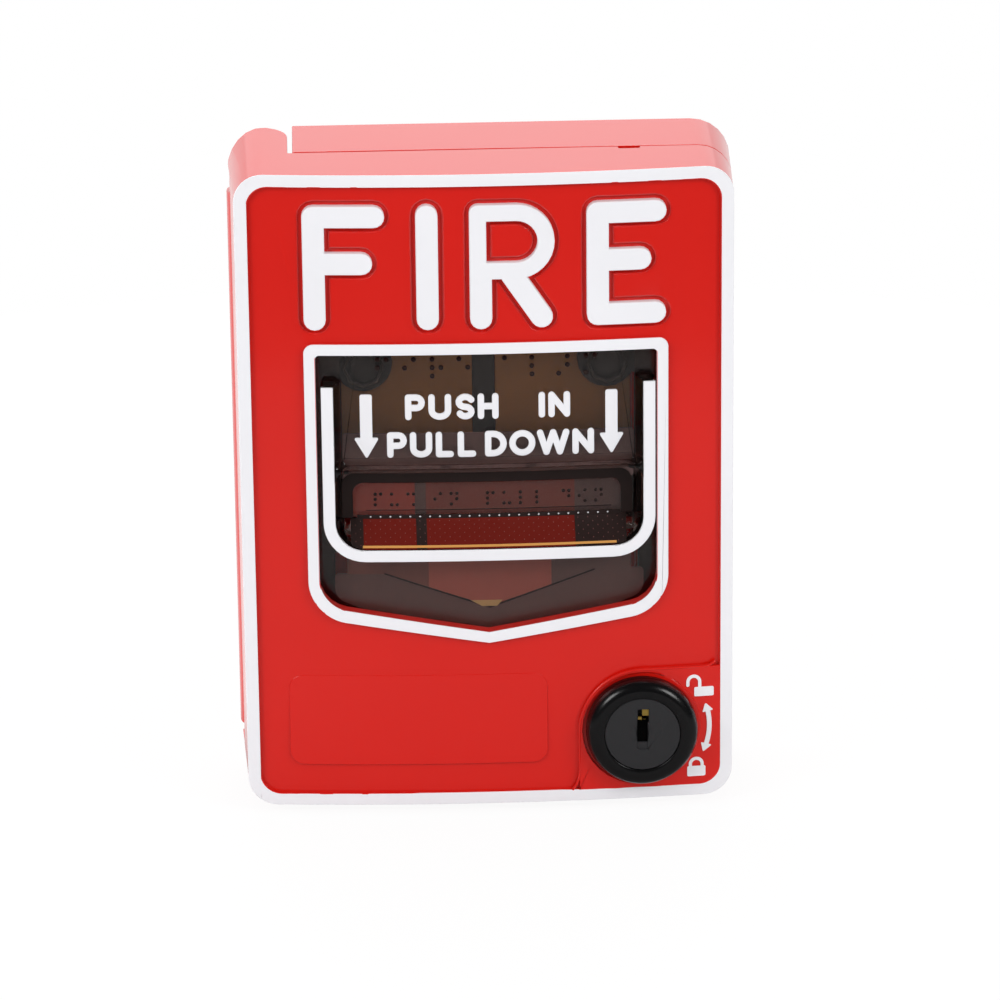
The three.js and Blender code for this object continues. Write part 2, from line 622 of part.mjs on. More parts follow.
// Handle: a crowned plate with a raised rim, a panel, a ridge and a finger pocket under it
const at = (below) => below - depth;
const rimX = winX - rim.inset;
const rimInnerX = rimX - rim.line;
const rimInnerZ = rim.bottom + rim.line;
const handleRear = at(handle.drop + handle.thickness);
const pocketRear = at(handle.pocketDepth);
const handleTop = win.top + handle.topLap;
const plate = prism(
  "y", windowShape(handle.sideLap, windowBead.corner, handleTop), at(handle.drop), handleRear);
const rimBlock = prism("y", outline([
  [-rimX, rim.bottom, rim.corner], [rimX, rim.bottom, rim.corner],
  [rimX, rim.top, rim.topCorner], [-rimX, rim.top, rim.topCorner],
]), at(0), at(handle.drop + handle.thickness / 2));
const lowCorner = rim.corner - rim.line;
const panelX = rimInnerX - rim.lean;
const panelCut = leaning(
  rectangle(-panelX, panelX, panel.low, rim.top + over, panel.corner), at(-over), at(handle.drop),
  rim.lean * (1 + over / handle.drop), panelX, panel.low);
const ridgeX = panelX - rim.lean;
const ridgeCut = leaning(
  rectangle(-ridgeX, ridgeX, ridge.under - panel.corner, panel.low + panel.corner),
  at(-ridge.front), at(ridge.front), ridge.flare, panelX, ridge.under);
const pocketShape = leaning(outline([
  [-panelX, rimInnerZ, lowCorner], [panelX, rimInnerZ, lowCorner],
  [panelX, ridge.under, pad.corner], [-panelX, ridge.under, pad.corner],
]), at(-over), pocketRear, rim.lean * (1 + over / handle.pocketDepth), panelX, rimInnerZ);
const pocketSection = prism("x", outline([
  [at(-over), rimInnerZ], [at(-over), ridge.under], [pocketRear, ridge.under], [pocketRear, slope.top],
  [at(slope.front), rimInnerZ],
]), -halfW, halfW);
const pocket = common(pocketShape, pocketSection);
const pocketShell = prism(
  "y", rectangle(-panelX - wall, panelX + wall, slope.top - 2 * wall, panel.low + bead.rise, pad.corner),
  at(handle.drop + handle.thickness / 2), at(handle.pocketDepth + handle.pocketWall));
const padX = panelX - pad.inset;
const padBody = prism("y", outline([
  [-padX, pad.low], [padX, pad.low], [padX, pad.top, pad.corner], [-padX, pad.top, pad.corner],
]), pocketRear - pad.rise, pocketRear + pad.rise);
const handleFlat = join(cut(join(plate, rimBlock, pocketShell), panelCut, ridgeCut, pocket), padBody);

// A bar with round ends between two points of the (y, z) plane, along x. It lies on the pivot's pin.
const pivotY = pivot.back - depth;
function capsule(y0, z0, y1, z1, radius) {
  const from = new THREE.Vector2(y0, z0);
  const to = new THREE.Vector2(y1, z1);
  const along = to.clone().sub(from).normalize();
  const side = new THREE.Vector2(-along.y, along.x).multiplyScalar(radius);
  const shape = new THREE.Shape([
    from.clone().add(side), from.clone().sub(side), to.clone().sub(side), to.clone().add(side)]);
  return (x0, x1) => join(
    prism("x", shape, x0, x1),
    prism("x", disc(y0, z0, radius), x0, x1),
    prism("x", disc(y1, z1, radius), x0, x1));
}
const lugRoot = -win.tip - handle.drop / 2;
const handleLug = capsule(handleRear, lugRoot, pivotY, pivot.z, pivot.lug);
const pivotHole = prism("x", disc(pivotY, pivot.z, pivot.radius + running), -far, far);
const lugsBody = [1, -1].map((side) => common(
  handleLug(...span(side, lug.inner, lug.inner + lug.thickness)), layer(handle.drop + gap, depth)));
const handleBody = cut(join(crowned(handleFlat), ...lugsBody), pivotHole).translate(handle.play, 0, 0);
add("pull_handle", handleBody, smoked);

// Slide
const slideFront = slide.back - depth;
const slideRear = slideFront + slide.thickness;
const lugOuter = lug.inner + lug.thickness + lug.apart;
const lugEnd = lugOuter + lug.thickness;
const tongueX = lugEnd + slide.tongueEdge;
let slideBody = cut(
  prism("y", outline([
    [-slideX, slide.low, slide.corner], [-tongueX, slide.low], [-tongueX, slide.tongueLow],
    [tongueX, slide.tongueLow], [tongueX, slide.low], [slideX, slide.low, slide.corner],
    [slideX, slide.top, slide.corner], [-slideX, slide.top, slide.corner],
  ]), slideFront, slideRear),
  prism("y", rectangle(-openX, openX, slide.sill, slide.top - slide.lintel, slide.corner),
    slideFront - over, slideRear + over),
);
const carrierLug = capsule(slideFront + gap, pivot.z, pivotY, pivot.z, pivot.lug);
const railX = openX + slide.rail / 2;
for (const side of [1, -1]) {
  const seatX = side * pushX;
  slideBody = join(
    slideBody,
    common(carrierLug(...span(side, lugOuter, lugEnd)), block(-far, far, -far, slideRear, -far, far)),
    prism("y", disc(seatX, pushSpring.z, pushSpring.seat), slideFront, slideRear),
    block(...span(side, pushX, railX), slideFront, slideRear,
      pushSpring.z - pushSpring.seat / 2, pushSpring.z + pushSpring.seat / 2),
    prism("y", disc(seatX, pushSpring.z, pushSpring.peg), slideFront - pushSpring.pegHeight, slideRear),
    block(...span(side, railX, retainerX - tab.inset), tab.back - depth, slideRear,
      tab.z - tab.thickness / 2, tab.z + tab.thickness / 2),
  );
}
const strikerLow = plunger.z - striker.lead;
const strikerHigh = plunger.z + pullTravel + striker.lead;
const strikerRear = (z) => striker.slopeShare * (z - plunger.z) - plunger.tip - striker.clearance;
slideBody = join(
  slideBody,
  prism("x", outline([
    [slideFront, strikerLow], [strikerRear(strikerLow), strikerLow], [strikerRear(strikerHigh), strikerHigh],
    [slideFront, strikerHigh],
  ]), strikerX - striker.width / 2, strikerX + striker.width / 2),
  block(strikerX, railX, slideFront, slideRear, strikerLow, strikerHigh),
);
const lintelDown = slide.top - pullTravel;
const pawlHead = lintelDown + 2 * gap;
slideBody = cut(
  slideBody,
  pivotHole,
  block(pawl.x - pawl.halfWidth - 2 * gap, pawl.x + pawl.halfWidth + 2 * gap,
    slideRear - pawl.notch, slideRear + over, slide.top - slide.lintel - over, slide.top + over),
);
add("handle_slide", slideBody, darkGrey);
const pinHalf = lugEnd + pivot.past;
add("pivot_pin", prism("x", disc(pivotY, pivot.z, pivot.radius), -pinHalf, pinHalf), steel);

// Springs: two push the handle forward, and two draw the slide up
for (const [name, side] of [["left", -1], ["right", 1]]) {
  const handleBack = handleRear + crownBack(pushX) + gap + pushSpring.wire;
  const seatFront = slideFront - gap - pushSpring.wire / 2;
  add(`push_spring_${name}`, coil(
    [side * pushX, seatFront, pushSpring.z], [side * pushX, handleBack, pushSpring.z],
    pushSpring.radius, pushSpring.wire, pushSpring.turns), steel);
  const low = tab.z + tab.thickness / 2 + gap + pullSpring.wire / 2;
  add(`return_spring_${name}`, coil(
    [side * pullX, pullY, low], [side * pullX, pullY, pullTop],
    pullSpring.radius, pullSpring.wire, pullSpring.turns), steel);
}

// Retainer plate, with the pocket of the status band and the slot of the pawl
const retRear = retFront + retainer.thickness;
const pawlHigh = pawlHead + pawl.headHeight;
const headSlot = [pawl.x - pawl.headHalf - gap, pawl.x + pawl.headHalf + gap];
const pawlSlot = [pawl.x - pawl.halfWidth - gap, pawl.x + pawl.halfWidth + gap];
const pawlY = (retFront + retRear) / 2;
let retBody = cut(
  prism("y", rectangle(-retainerX, retainerX, retainer.low, retainer.top, retainer.corner),
    retFront, retRear),
  block(strikerX - switchHole.left, strikerX + switchHole.right, -far, far, switchHole.low, switchHole.high),
  block(shadowSlot.left, shadowSlot.right, -far, far, shadowSlot.low, shadowSlot.high),
  block(-flagX - gap, flagX + gap, retFront - over, retFront + flag.thickness + gap,
    flag.low - gap, flagHigh + gap),
  ...bossesAt.map(([x, z]) => prism("y", disc(x, z, screw.shank + gap), -far, 0)),
);
const hookLow = pullTop + gap + pullSpring.wire / 2;
const hookX = retainerX - hook.inset;
const guideHigh = bossHigh - boss.radius - gap;
for (const side of [1, -1]) {
  retBody = join(
    retBody,
    block(...span(side, slideX + gap, slideX + gap + retainer.guide),
      retFront - retainer.guideHeight, retRear, retainer.guideLow, guideHigh),
    block(...span(side, hookX - hook.width, hookX),
      hook.back - depth, retRear, hookLow, hookLow + hook.thickness),
  );
}
retBody = cut(
  retBody,
  block(...pawlSlot, -far, far, pawl.low - gap, pawlHigh + gap),
  block(...headSlot, -far, far, pawlHead - gap, pawlHigh + gap),
  prism("x", disc(pawlY, pawl.pivotZ, pawlPin.radius + running), pawl.x - pawlPin.halfLength - gap,
    pawl.x + pawlPin.halfLength + gap),
);
add("handle_retainer", retBody, red);
add("status_band", cut(
  block(-flagX, flagX, retFront, retFront + flag.thickness, flag.low, flagHigh),
  block(...headSlot, -far, far, pawlHead - gap, pawlHigh + gap),
  block(...pawlSlot, -far, far, flag.low - over, pawlHigh + gap)), yellow);
const pawlFront = pawlY - pawl.thickness / 2;
const pawlRear = pawlY + pawl.thickness / 2;
add("latch_pawl", cut(
  join(
    block(pawl.x - pawl.halfWidth, pawl.x + pawl.halfWidth, pawlFront, pawlRear, pawl.low, pawlHigh),
    block(pawl.x - pawl.headHalf, pawl.x + pawl.headHalf, pawlFront, pawlRear, pawlHead, pawlHigh)),
  prism("x", disc(pawlY, pawl.pivotZ, pawlPin.radius + running), -far, far)), darkGrey);
add("latch_pin", prism("x", disc(pawlY, pawl.pivotZ, pawlPin.radius),
  pawl.x - pawlPin.halfLength, pawl.x + pawlPin.halfLength), steel);
bossesAt.forEach(([x, z], i) => add(`retainer_screw_${i + 1}`, join(
  prism("y", disc(x, z, screw.head, screwSides), retRear + gap, retRear + gap + screw.headHeight),
  prism("y", disc(x, z, screw.shank, screwSides),
    bossRear - screw.length + gap, retRear + gap + running)), steel));

// Lock
const headFront = bezel.seatHeight - gap;
add("lock_bezel", turned([
  [bezel.bore, bezel.seatHeight], [bezel.seatBore, bezel.seatHeight],
  [bezel.seatBore, gap], [bezel.radius, gap],
  ...domeShares.map(([across, up]) => [bezel.radius * across, bezel.height * up]),
  [bezel.bore, bezel.height - bezel.dish],
], bezelSides), black);
const camRear = -seam + cam.behindSeam;
const camFront = camRear - cam.thickness;
const barrelEnd = seatY - camFront + barrel.toCam;
add("lock_barrel", turned([
  [barrel.bore, headFront], [barrel.head, headFront], [barrel.head, gap], [barrel.radius, gap],
  [barrel.radius, barrelEnd], [barrel.bore, barrelEnd],
]), steel);
const nutFront = seatRear + gap;
add("lock_nut", cut(
  prism("y", disc(lockX, lockZ, nut.corners, nutSides), nutFront, nutFront + nut.thickness),
  prism("y", disc(lockX, lockZ, barrel.radius + running, drumSides), -far, 0)), steel);
const plugFace = bezel.seatHeight + plug.faceHeight;
const shaftEnd = camFront - gap;
let plugBody = join(
  turned([[0, bezel.seatHeight], [plug.face, bezel.seatHeight], [plug.face, plugFace], [0, plugFace]]),
  prism("y", disc(lockX, lockZ, plug.shaft), seatY - bezel.seatHeight - gap, shaftEnd),
  prism("y", disc(lockX, lockZ, plug.tail, tailSides), shaftEnd - gap, camRear + gap));
const plugFront = seatY - plugFace;
const keyShape = rectangle(lockX - plug.keyWidth / 2, lockX + plug.keyWidth / 2,
  lockZ - plug.keyHeight / 2, lockZ + plug.keyHeight / 2);
plugBody = cut(
  plugBody,
  prism("y", keyShape, plugFront - over, plugFront + keyway.depth),
  turned([[0, plugFace + gap], [keyway.countersink, plugFace + gap], [keyway.countersink, plugFace],
    [keyway.countersink / 2, plugFace - keyway.dish], [0, plugFace - keyway.dish]]),
  prism("y", disc(lockX, lockZ, camScrew.shank + gap), camRear - camScrew.length, 0),
);
add("lock_plug", plugBody, black);
for (let i = 0; i < wafer.count; i++) {
  const side = i % 2 ? -1 : 1;
  const z = lockZ + side * (plug.keyHeight / 2 - gap - wafer.height / 2);
  const y = plugFront + wafer.first + wafer.pitch * i;
  add(`lock_wafer_${i + 1}`, block(lockX - wafer.width / 2, lockX + wafer.width / 2, y, y + wafer.thickness,
    z - wafer.height / 2, z + wafer.height / 2), brass);
}
add("lock_cam", cut(
  join(
    prism("y", disc(lockX, lockZ, cam.width / 2 + wall / 2, drumSides), camFront, camRear),
    prism("y", rectangle(
      lockX, strikeLeft - cam.clearance, lockZ - cam.width / 2, lockZ + cam.width / 2, wall),
      camFront, camRear)),
  prism("y", disc(lockX, lockZ, plug.tail + gap, tailSides), -far, 0)), steel);
const camScrewSeat = camRear + 2 * gap;
add("cam_screw", join(
  prism("y", disc(lockX, lockZ, camScrew.head), camScrewSeat, camScrewSeat + camScrew.headHeight),
  prism("y", disc(lockX, lockZ, camScrew.shank),
    camRear - camScrew.length + gap, camScrewSeat + running)), steel);

export default part;
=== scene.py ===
"""Looks for a dual-action manual call point: red housing, smoked pull handle, black key lock."""

import json
import math

import bmesh
import bpy
from mathutils import Matrix, Vector


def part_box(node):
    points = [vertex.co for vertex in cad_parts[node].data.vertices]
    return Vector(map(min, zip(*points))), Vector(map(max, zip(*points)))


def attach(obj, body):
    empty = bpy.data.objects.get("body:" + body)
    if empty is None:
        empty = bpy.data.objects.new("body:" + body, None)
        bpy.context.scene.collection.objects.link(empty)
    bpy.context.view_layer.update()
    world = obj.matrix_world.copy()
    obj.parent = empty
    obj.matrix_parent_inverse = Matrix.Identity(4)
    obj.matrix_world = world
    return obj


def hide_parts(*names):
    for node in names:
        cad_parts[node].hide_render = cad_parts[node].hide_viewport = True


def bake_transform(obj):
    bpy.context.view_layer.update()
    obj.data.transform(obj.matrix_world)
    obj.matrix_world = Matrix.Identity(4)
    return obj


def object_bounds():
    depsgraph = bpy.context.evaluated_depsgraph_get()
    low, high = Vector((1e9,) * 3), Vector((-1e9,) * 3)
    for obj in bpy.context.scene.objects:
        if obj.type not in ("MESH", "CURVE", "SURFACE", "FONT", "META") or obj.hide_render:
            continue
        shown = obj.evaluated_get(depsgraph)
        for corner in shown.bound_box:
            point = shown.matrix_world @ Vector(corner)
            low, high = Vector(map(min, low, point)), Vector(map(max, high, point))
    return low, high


bl_info = {
    "name": "Manual call point",
    "version": (1, 0, 0),
    "blender": (4, 5, 0),
    "location": "View3D > Sidebar > Call point",
    "description": "Builds the finished surfaces of a dual-action manual call point around its CAD model",
    "category": "Object",
}

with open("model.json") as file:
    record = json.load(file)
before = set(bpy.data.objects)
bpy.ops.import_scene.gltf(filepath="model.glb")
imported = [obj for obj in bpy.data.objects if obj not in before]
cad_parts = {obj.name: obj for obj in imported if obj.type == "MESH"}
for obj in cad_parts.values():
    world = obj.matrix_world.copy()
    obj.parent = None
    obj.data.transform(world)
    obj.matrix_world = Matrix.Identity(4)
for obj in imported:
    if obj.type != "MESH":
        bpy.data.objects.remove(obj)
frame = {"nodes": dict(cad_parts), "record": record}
CAD_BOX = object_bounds()
BODY_OF = {node: body for body, nodes in frame["record"]["behaviour"]["bodies"].items() for node in nodes}
MM = 0.001


def colour(label, place, code):
    return bpy.props.StringProperty(name=label, description=place, default=code)


def length(label, meaning, metres):
    return bpy.props.FloatProperty(name=label, description=meaning, default=metres, unit="LENGTH")


class CallPointColours(bpy.types.PropertyGroup):
    """Colours of the finishes, as sRGB hex values."""

    red: colour("Red", "Moulded housing", "#DA1508")
    white: colour("White", "Hot-stamped bead and words", "#F2F2F6")
    smoke: colour("Smoke", "Translucent pull handle", "#BC9584")
    black: colour("Black", "Lock bezel and plug", "#0C0C0D")
    brass: colour("Brass", "Lock wafers", "#E8C466")
    steel: colour("Steel", "Zinc-plated pins and screws", "#B4B6B8")
    yellow: colour("Yellow", "Band seen behind the handle", "#B07C3A")
    board: colour("Board", "Solder mask of the board", "#1E5A36")
    dark: colour("Dark plastic", "Slide and module cover", "#262628")
    # Painted light and shade: the grey film stands for the parts seen through the handle, as dim as they
    # look there
    film: colour("Film", "Grey of the films behind the handle", "#8A7270")
    spring: colour("Spring steel", "Springs behind the handle", "#3A3634")
    plug: colour("Plug", "Face of the lock's plug", "#2B2B2D")
    # Painted shade: a black block in the keyway, where there is only shade
    void: colour("Keyway shade", "Inside of the keyway", "#040404")
    # Painted light: these films stand for the parts seen through the handle, in the tones that their light
    # gives them there
    film_warm: colour("Warm painted light", "Lower left of the handle", "#A07069")
    film_pink: colour("Pink painted light", "Lower middle of the handle", "#DA8478")
    film_rose: colour("Rose painted light", "Middle of the pad", "#B0685D")
    film_red: colour("Red painted light", "Left of the pad", "#D66A5C")
    # Partly real, partly painted light: the red retainer seen through the slope, with its light painted in
    deep: colour("Deep red", "Red behind the pocket's slope", "#6A160C")
    # Painted shade: dark dots, bands, lines and strips in and behind the handle, where shade falls
    shade: colour("Shade", "Painted shade in and behind the handle", "#2A1C1A")
    # Painted highlights: on the grip points, an amber line on the pocket's edge, an amber glint at its
    # notch, and glints on the facets
    points: colour("Points", "Grip points of the pocket", "#7A4A48")
    amber: colour("Amber", "Lit edges in the handle", "#D89A50")
    glow: colour("Glow", "Bright notch in the handle", "#FFDC98")
    glint: colour("Glint", "Facets over the pocket's slope", "#F2F2F6")
    signal: colour("Signal", "Status lamp", "#C02018")


class CallPointSizes(bpy.types.PropertyGroup):
    """Sizes of what is printed or raised on the front, in metres."""

    word_stroke: length("Word stroke", "Width of the strokes of the large word", 0.0045)
    word_moat: length("Word moat", "Groove round the large letters", 0.0009)
    panel_stroke: length("Panel stroke", "Width of the strokes on the handle", 0.00134)
    edge: length("Edge", "Rounding of moulded edges", 0.00018)


def colours():
    return bpy.context.scene.call_point_colours


def sizes():
    return bpy.context.scene.call_point_sizes


# Below, places are in mm. The front is crowned, and a depth is counted back from the top of its bead.
FRONT = 35.3
CROWN_RADIUS = 397.6
BEND_STEP = 6
# The booleans need faces that are this far apart, not on each other
HAIR = 0.004


def crown(x):
    """How far the crowned front has fallen back at a distance from its middle."""
    return CROWN_RADIUS - math.sqrt(CROWN_RADIUS ** 2 - x * x)


def arc(x, z, radius, start, end, steps=10):
    """Points of an arc, from one angle to another in degrees."""
    turns = [math.radians(start + (end - start) * i / steps) for i in range(steps + 1)]
    return [(x + radius * math.cos(t), z + radius * math.sin(t)) for t in turns]


def box_corners(left, right, low, high):
    return [(left, low), (right, low), (right, high), (left, high)]


def stroke(path, radius, flat=False):
    """The outline of a pen stroke along a path, with round or flat ends."""
    points = [Vector(p) for p in path]
    last = len(points) - 1
    side = []
    for i in range(last + 1):
        along = (points[min(i + 1, last)] - points[max(i - 1, 0)]).normalized()
        side.append(Vector((-along.y, along.x)))
    left = [p + n * radius for p, n in zip(points, side)]
    right = [p - n * radius for p, n in zip(points, side)]
    if flat:
        return left + right[::-1]
    ends = []
    for i in (last, 0):
        start = math.atan2(side[i].y, side[i].x) + (0 if i else math.pi)
        turns = [start - math.pi * k / 8 for k in range(1, 8)]
        ends.append([points[i] + Vector((math.cos(t), math.sin(t))) * radius for t in turns])
    return left + ends[0] + right[::-1] + ends[1]


def loft(levels):
    """A closed solid through outlines of as many points, each at its depth, from the rear to the front."""
    shape = bmesh.new()
    points, depth = levels[0]
    base = face = shape.faces.new([shape.verts.new((p[0], depth, p[1])) for p in points])
    for points, depth in levels[1:]:
        made = bmesh.ops.extrude_face_region(shape, geom=[face])["geom"]
        if face is not base:
            bmesh.ops.delete(shape, geom=[face], context="FACES_ONLY")
        face = next(f for f in made if isinstance(f, bmesh.types.BMFace))
        for vert, p in zip(face.verts, points):
            vert.co = (p[0], depth, p[1])
    bmesh.ops.recalc_face_normals(shape, faces=shape.faces)
    return shape


def slab(outline, rear, front):
    return loft([(outline, rear), (outline, front)])


def bend(shape, across=0):
    """Bends a flat shape in mm to the crowned front and turns it to metres."""
    reach = max(abs(v.co.x) for v in shape.verts)
    steps = int(reach // BEND_STEP)
    for i in range(-steps, steps + 1):
        bmesh.ops.bisect_plane(
            shape, geom=shape.verts[:] + shape.edges[:] + shape.faces[:], dist=1e-4,
            plane_co=(i * BEND_STEP, 0, 0), plane_no=(1, 0, 0))
    for vert in shape.verts:
        vert.co.y += crown(vert.co.x) - FRONT
        vert.co.x += across
    bmesh.ops.scale(shape, verts=shape.verts, vec=(MM, MM, MM))
    return shape


def add_object(name, data):
    made = bpy.data.objects.new(name, data)
    bpy.context.scene.collection.objects.link(made)
    return made


def as_object(name, shape):
    """Turns a bmesh into an object in the scene, and frees it."""
    mesh = bpy.data.meshes.new(name)
    shape.to_mesh(mesh)
    shape.free()
    return add_object(name, mesh)


def bend_piece(piece, across=0):
    """Bends a piece that is still flat and in mm."""
    shape = bmesh.new()
    shape.from_mesh(piece.data)
    bend(shape, across)
    shape.to_mesh(piece.data)
    shape.free()
    return piece


def settle(piece):
    """Makes the piece's modifiers part of its mesh."""
    graph = bpy.context.evaluated_depsgraph_get()
    mesh = bpy.data.meshes.new_from_object(piece.evaluated_get(graph))
    piece.modifiers.clear()
    piece.data = mesh
    return piece


def combine(piece, tools, operation):
    """Joins tools to a piece or cuts them from it, and removes them."""
    for tool in tools:
        step = piece.modifiers.new("combine", "BOOLEAN")
        step.operation = operation
        step.solver = "EXACT"
        step.object = tool
        settle(piece)
        bpy.data.objects.remove(tool)
    return piece


def smooth(piece, angle=32):
    """Smooth shading that leaves large faces flat and blends over the small ones between them."""
    piece.data.shade_smooth()
    piece.data.set_sharp_from_angle(angle=math.radians(angle))
    step = piece.modifiers.new("shading", "WEIGHTED_NORMAL")
    step.keep_sharp = True
    return settle(piece)


def finish_piece(piece, body, material, nodes=()):
    """Gives a piece its material, hides the CAD nodes that it stands for, and ties it to its body if it
    keeps to one.
    """
    piece.data.materials.clear()
    piece.data.materials.append(MATERIALS[material])
    if body:
        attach(piece, body)
    if nodes:
        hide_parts(*nodes)


def whiten(piece, body):
    """Makes a piece one of the white lines, letters or signs on a body."""
    finish_piece(smooth(piece), body, "white")


def merged_copy(node, name):
    """A copy of a CAD node with its loose triangles merged and flat faces joined."""
    shape = bmesh.new()
    shape.from_mesh(frame["nodes"][node].data)
    bmesh.ops.remove_doubles(shape, verts=shape.verts, dist=1e-6)
    bmesh.ops.dissolve_limit(shape, angle_limit=math.radians(0.2), verts=shape.verts, edges=shape.edges)
    bmesh.ops.connect_verts_concave(shape, faces=shape.faces)
    for face in shape.faces:
        face.material_index = 0
    return as_object(name, shape)


def dress(node, name, slot, finish, width, segments=2):
    """Puts a copy with round edges in the place of a CAD node."""
    piece = round_edges(merged_copy(node, name), width, segments)
    finish_piece(smooth(piece), BODY_OF[node], finish, [node])


def round_edges(piece, width, segments=2):
    """Rounds the piece's sharp edges by a width in metres."""
    step = piece.modifiers.new("edges", "BEVEL")
    step.width = width
    step.segments = segments
    step.limit_method = "ANGLE"
    step.angle_limit = math.radians(30)
    step.use_clamp_overlap = False
    step.miter_outer = "MITER_ARC"
    return settle(piece)


def linear(code):
    """An sRGB hex value as linear red, green, blue and alpha."""
    parts = [int(code[i:i + 2], 16) / 255 for i in (1, 3, 5)]
    return [c / 12.92 if c <= 0.04045 else ((c + 0.055) / 1.055) ** 2.4 for c in parts] + [1]


def add_node(tree, kind, inputs=None, **options):
    """Adds a shader node. Options are its properties; inputs are values or the sockets that feed it."""
    made = tree.nodes.new(f"ShaderNode{kind}")
    for key, value in options.items():
        setattr(made, key, value)
    for key, value in (inputs or {}).items():
        if isinstance(value, bpy.types.NodeSocket):
            tree.links.new(value, made.inputs[key])
        else:
            made.inputs[key].default_value = value
    return made


def maths(tree, operation, a, b):
    """The result of a maths node on two values or sockets."""
    return add_node(tree, "Math", {0: a, 1: b}, operation=operation).outputs[0]


def new_material(name):
    """A material, its node tree and, as the tree's first socket, the place on the object."""
    material = bpy.data.materials.new(name)
    material.use_nodes = True
    tree = material.node_tree
    tree.nodes.clear()
    return material, tree, add_node(tree, "TexCoord").outputs["Object"]


GRAIN = 0.35
SMOKE_PER_METRE = 230


def moulded(name, colour, roughness, ior=1.49, level=0.5, grain_depth=0.02, sheen=0, coat=0):
    """Injection-moulded plastic: an even colour, a faint spark-eroded grain and slow flow variation."""
    material, tree, at = new_material(name)
    flow = add_node(tree, "TexNoise", {"Vector": at, "Scale": 30, "Detail": 2})
    tone = add_node(tree, "MixRGB", {
        "Fac": flow.outputs["Fac"],
        "Color1": [c * 0.96 for c in linear(colour)[:3]] + [1],
        "Color2": [min(1, c * 1.04) for c in linear(colour)[:3]] + [1],
    })
    grain = add_node(tree, "TexNoise", {"Vector": at, "Scale": 1 / (GRAIN * MM), "Detail": 2})
    rough = add_node(tree, "MapRange", {
        "Value": flow.outputs["Fac"], "To Min": roughness - 0.03, "To Max": roughness + 0.03})
    bump = add_node(tree, "Bump", {
        "Height": grain.outputs["Fac"], "Strength": 0.15, "Distance": grain_depth * MM})
    shader = add_node(tree, "BsdfPrincipled", {
        "Base Color": tone.outputs["Color"], "Roughness": rough.outputs["Result"], "IOR": ior,
        "Specular IOR Level": level, "Sheen Weight": sheen, "Sheen Roughness": 0.25,
        "Coat Weight": coat, "Coat Roughness": 0.12, "Normal": bump.outputs["Normal"]})
    add_node(tree, "OutputMaterial", {"Surface": shader.outputs["BSDF"]})
    return material


def plated(name, colour, roughness):
    """Plated or turned metal: fine drawn lines in its roughness."""
    material, tree, at = new_material(name)
    lines = add_node(tree, "TexNoise", {"Vector": at, "Scale": 1500, "Detail": 3})
    rough = add_node(tree, "MapRange", {
        "Value": lines.outputs["Fac"], "To Min": roughness - 0.06, "To Max": roughness + 0.06})
    shader = add_node(tree, "BsdfPrincipled", {
        "Base Color": linear(colour), "Metallic": 1, "Roughness": rough.outputs["Result"]})
    add_node(tree, "OutputMaterial", {"Surface": shader.outputs["BSDF"]})
    return material


def smoked(name, colour, per_metre):
    """Tinted polycarbonate, pressed smooth: clear at the skin, darker where the wall is thick."""
    material, tree, at = new_material(name)
    ripple = add_node(tree, "TexNoise", {"Vector": at, "Scale": 120, "Detail": 1})
    bump = add_node(tree, "Bump", {
        "Height": ripple.outputs["Fac"], "Strength": 0.05, "Distance": 0.2 * MM})
    shader = add_node(tree, "BsdfPrincipled", {
        "Base Color": (1, 1, 1, 1), "Roughness": 0.06, "IOR": 1.58, "Transmission Weight": 1,
        "Normal": bump.outputs["Normal"]})
    tint = add_node(tree, "VolumeAbsorption", {"Color": linear(colour), "Density": per_metre})
    add_node(tree, "OutputMaterial", {
        "Surface": shader.outputs["BSDF"], "Volume": tint.outputs["Volume"]})
    return material


# Moulded finishes, each in the colour of its key: the material's name, its roughness and what else differs
MOULDED = {
    "red": ("Red satin polycarbonate", 0.34, {"level": 0.25, "sheen": 0.12, "coat": 0.8}),
    "white": ("White hot-stamp foil", 0.5, {"level": 0.3}),
    "dark": ("Dark grey polycarbonate", 0.6),
    "plug": ("Black satin acetal", 0.4),
    # Painted shade in the keyway
    "void": ("Painted shade in the keyway", 0.9, {"level": 0.05}),
    "black": ("Black gloss acetal", 0.22, {"ior": 1.48, "grain_depth": 0.002}),
    "yellow": ("Yellow polycarbonate", 0.5),
    "board": ("Green solder mask", 0.3),
    "signal": ("Red LED epoxy", 0.12),
    # Painted light and shade in and behind the handle, in tones of one film: the parts seen through it, lit
    # or shaded, and painted shade
    "film": ("Film in grey painted light and shade", 0.6, {"level": 0.2}),
    "film_warm": ("Film in warm painted light", 0.6, {"level": 0.2}),
    "film_pink": ("Film in pink painted light", 0.6, {"level": 0.2}),
    "film_rose": ("Film in rose painted light", 0.6, {"level": 0.2}),
    "film_red": ("Film in red painted light", 0.6, {"level": 0.2}),
    "deep": ("Red retainer seen through the slope, in painted light", 0.4, {"level": 0.2}),
    "shade": ("Painted shade in the handle", 0.4, {"level": 0.3}),
    # Painted highlights and glints: on the grip points, the facets, the pocket's edge and its notch
    "points": ("Painted highlights on the grip points", 0.35),
    "glint": ("Painted glints on the facets", 0.1),
    "amber": ("Painted amber highlight on an edge", 0.3),
    "glow": ("Painted amber glint", 0.3),
}
MATERIALS = {}
# Finishes of the CAD nodes that aren't plated steel
NODE_FINISHES = {
    "red": ["front_cover", "back_shell", "handle_retainer"],
    "yellow": ["status_band"],
    "board": ["circuit_board"],
    "dark": [
        "handle_slide", "module_cover", "microswitch_body", "lock_barrel", "pull_handle", "latch_pawl",
        "terminal_block", "address_switch_tens", "address_switch_units",
    ],
    "black": ["lock_bezel", "lock_plug"],
    "white": ["switch_plunger", "address_dial_tens", "address_dial_units"],
    "signal": ["status_led"],
}


def finish_of(node):
    for finish, nodes in NODE_FINISHES.items():
        if node in nodes:
            return finish
    return "brass" if "wafer" in node else "steel"


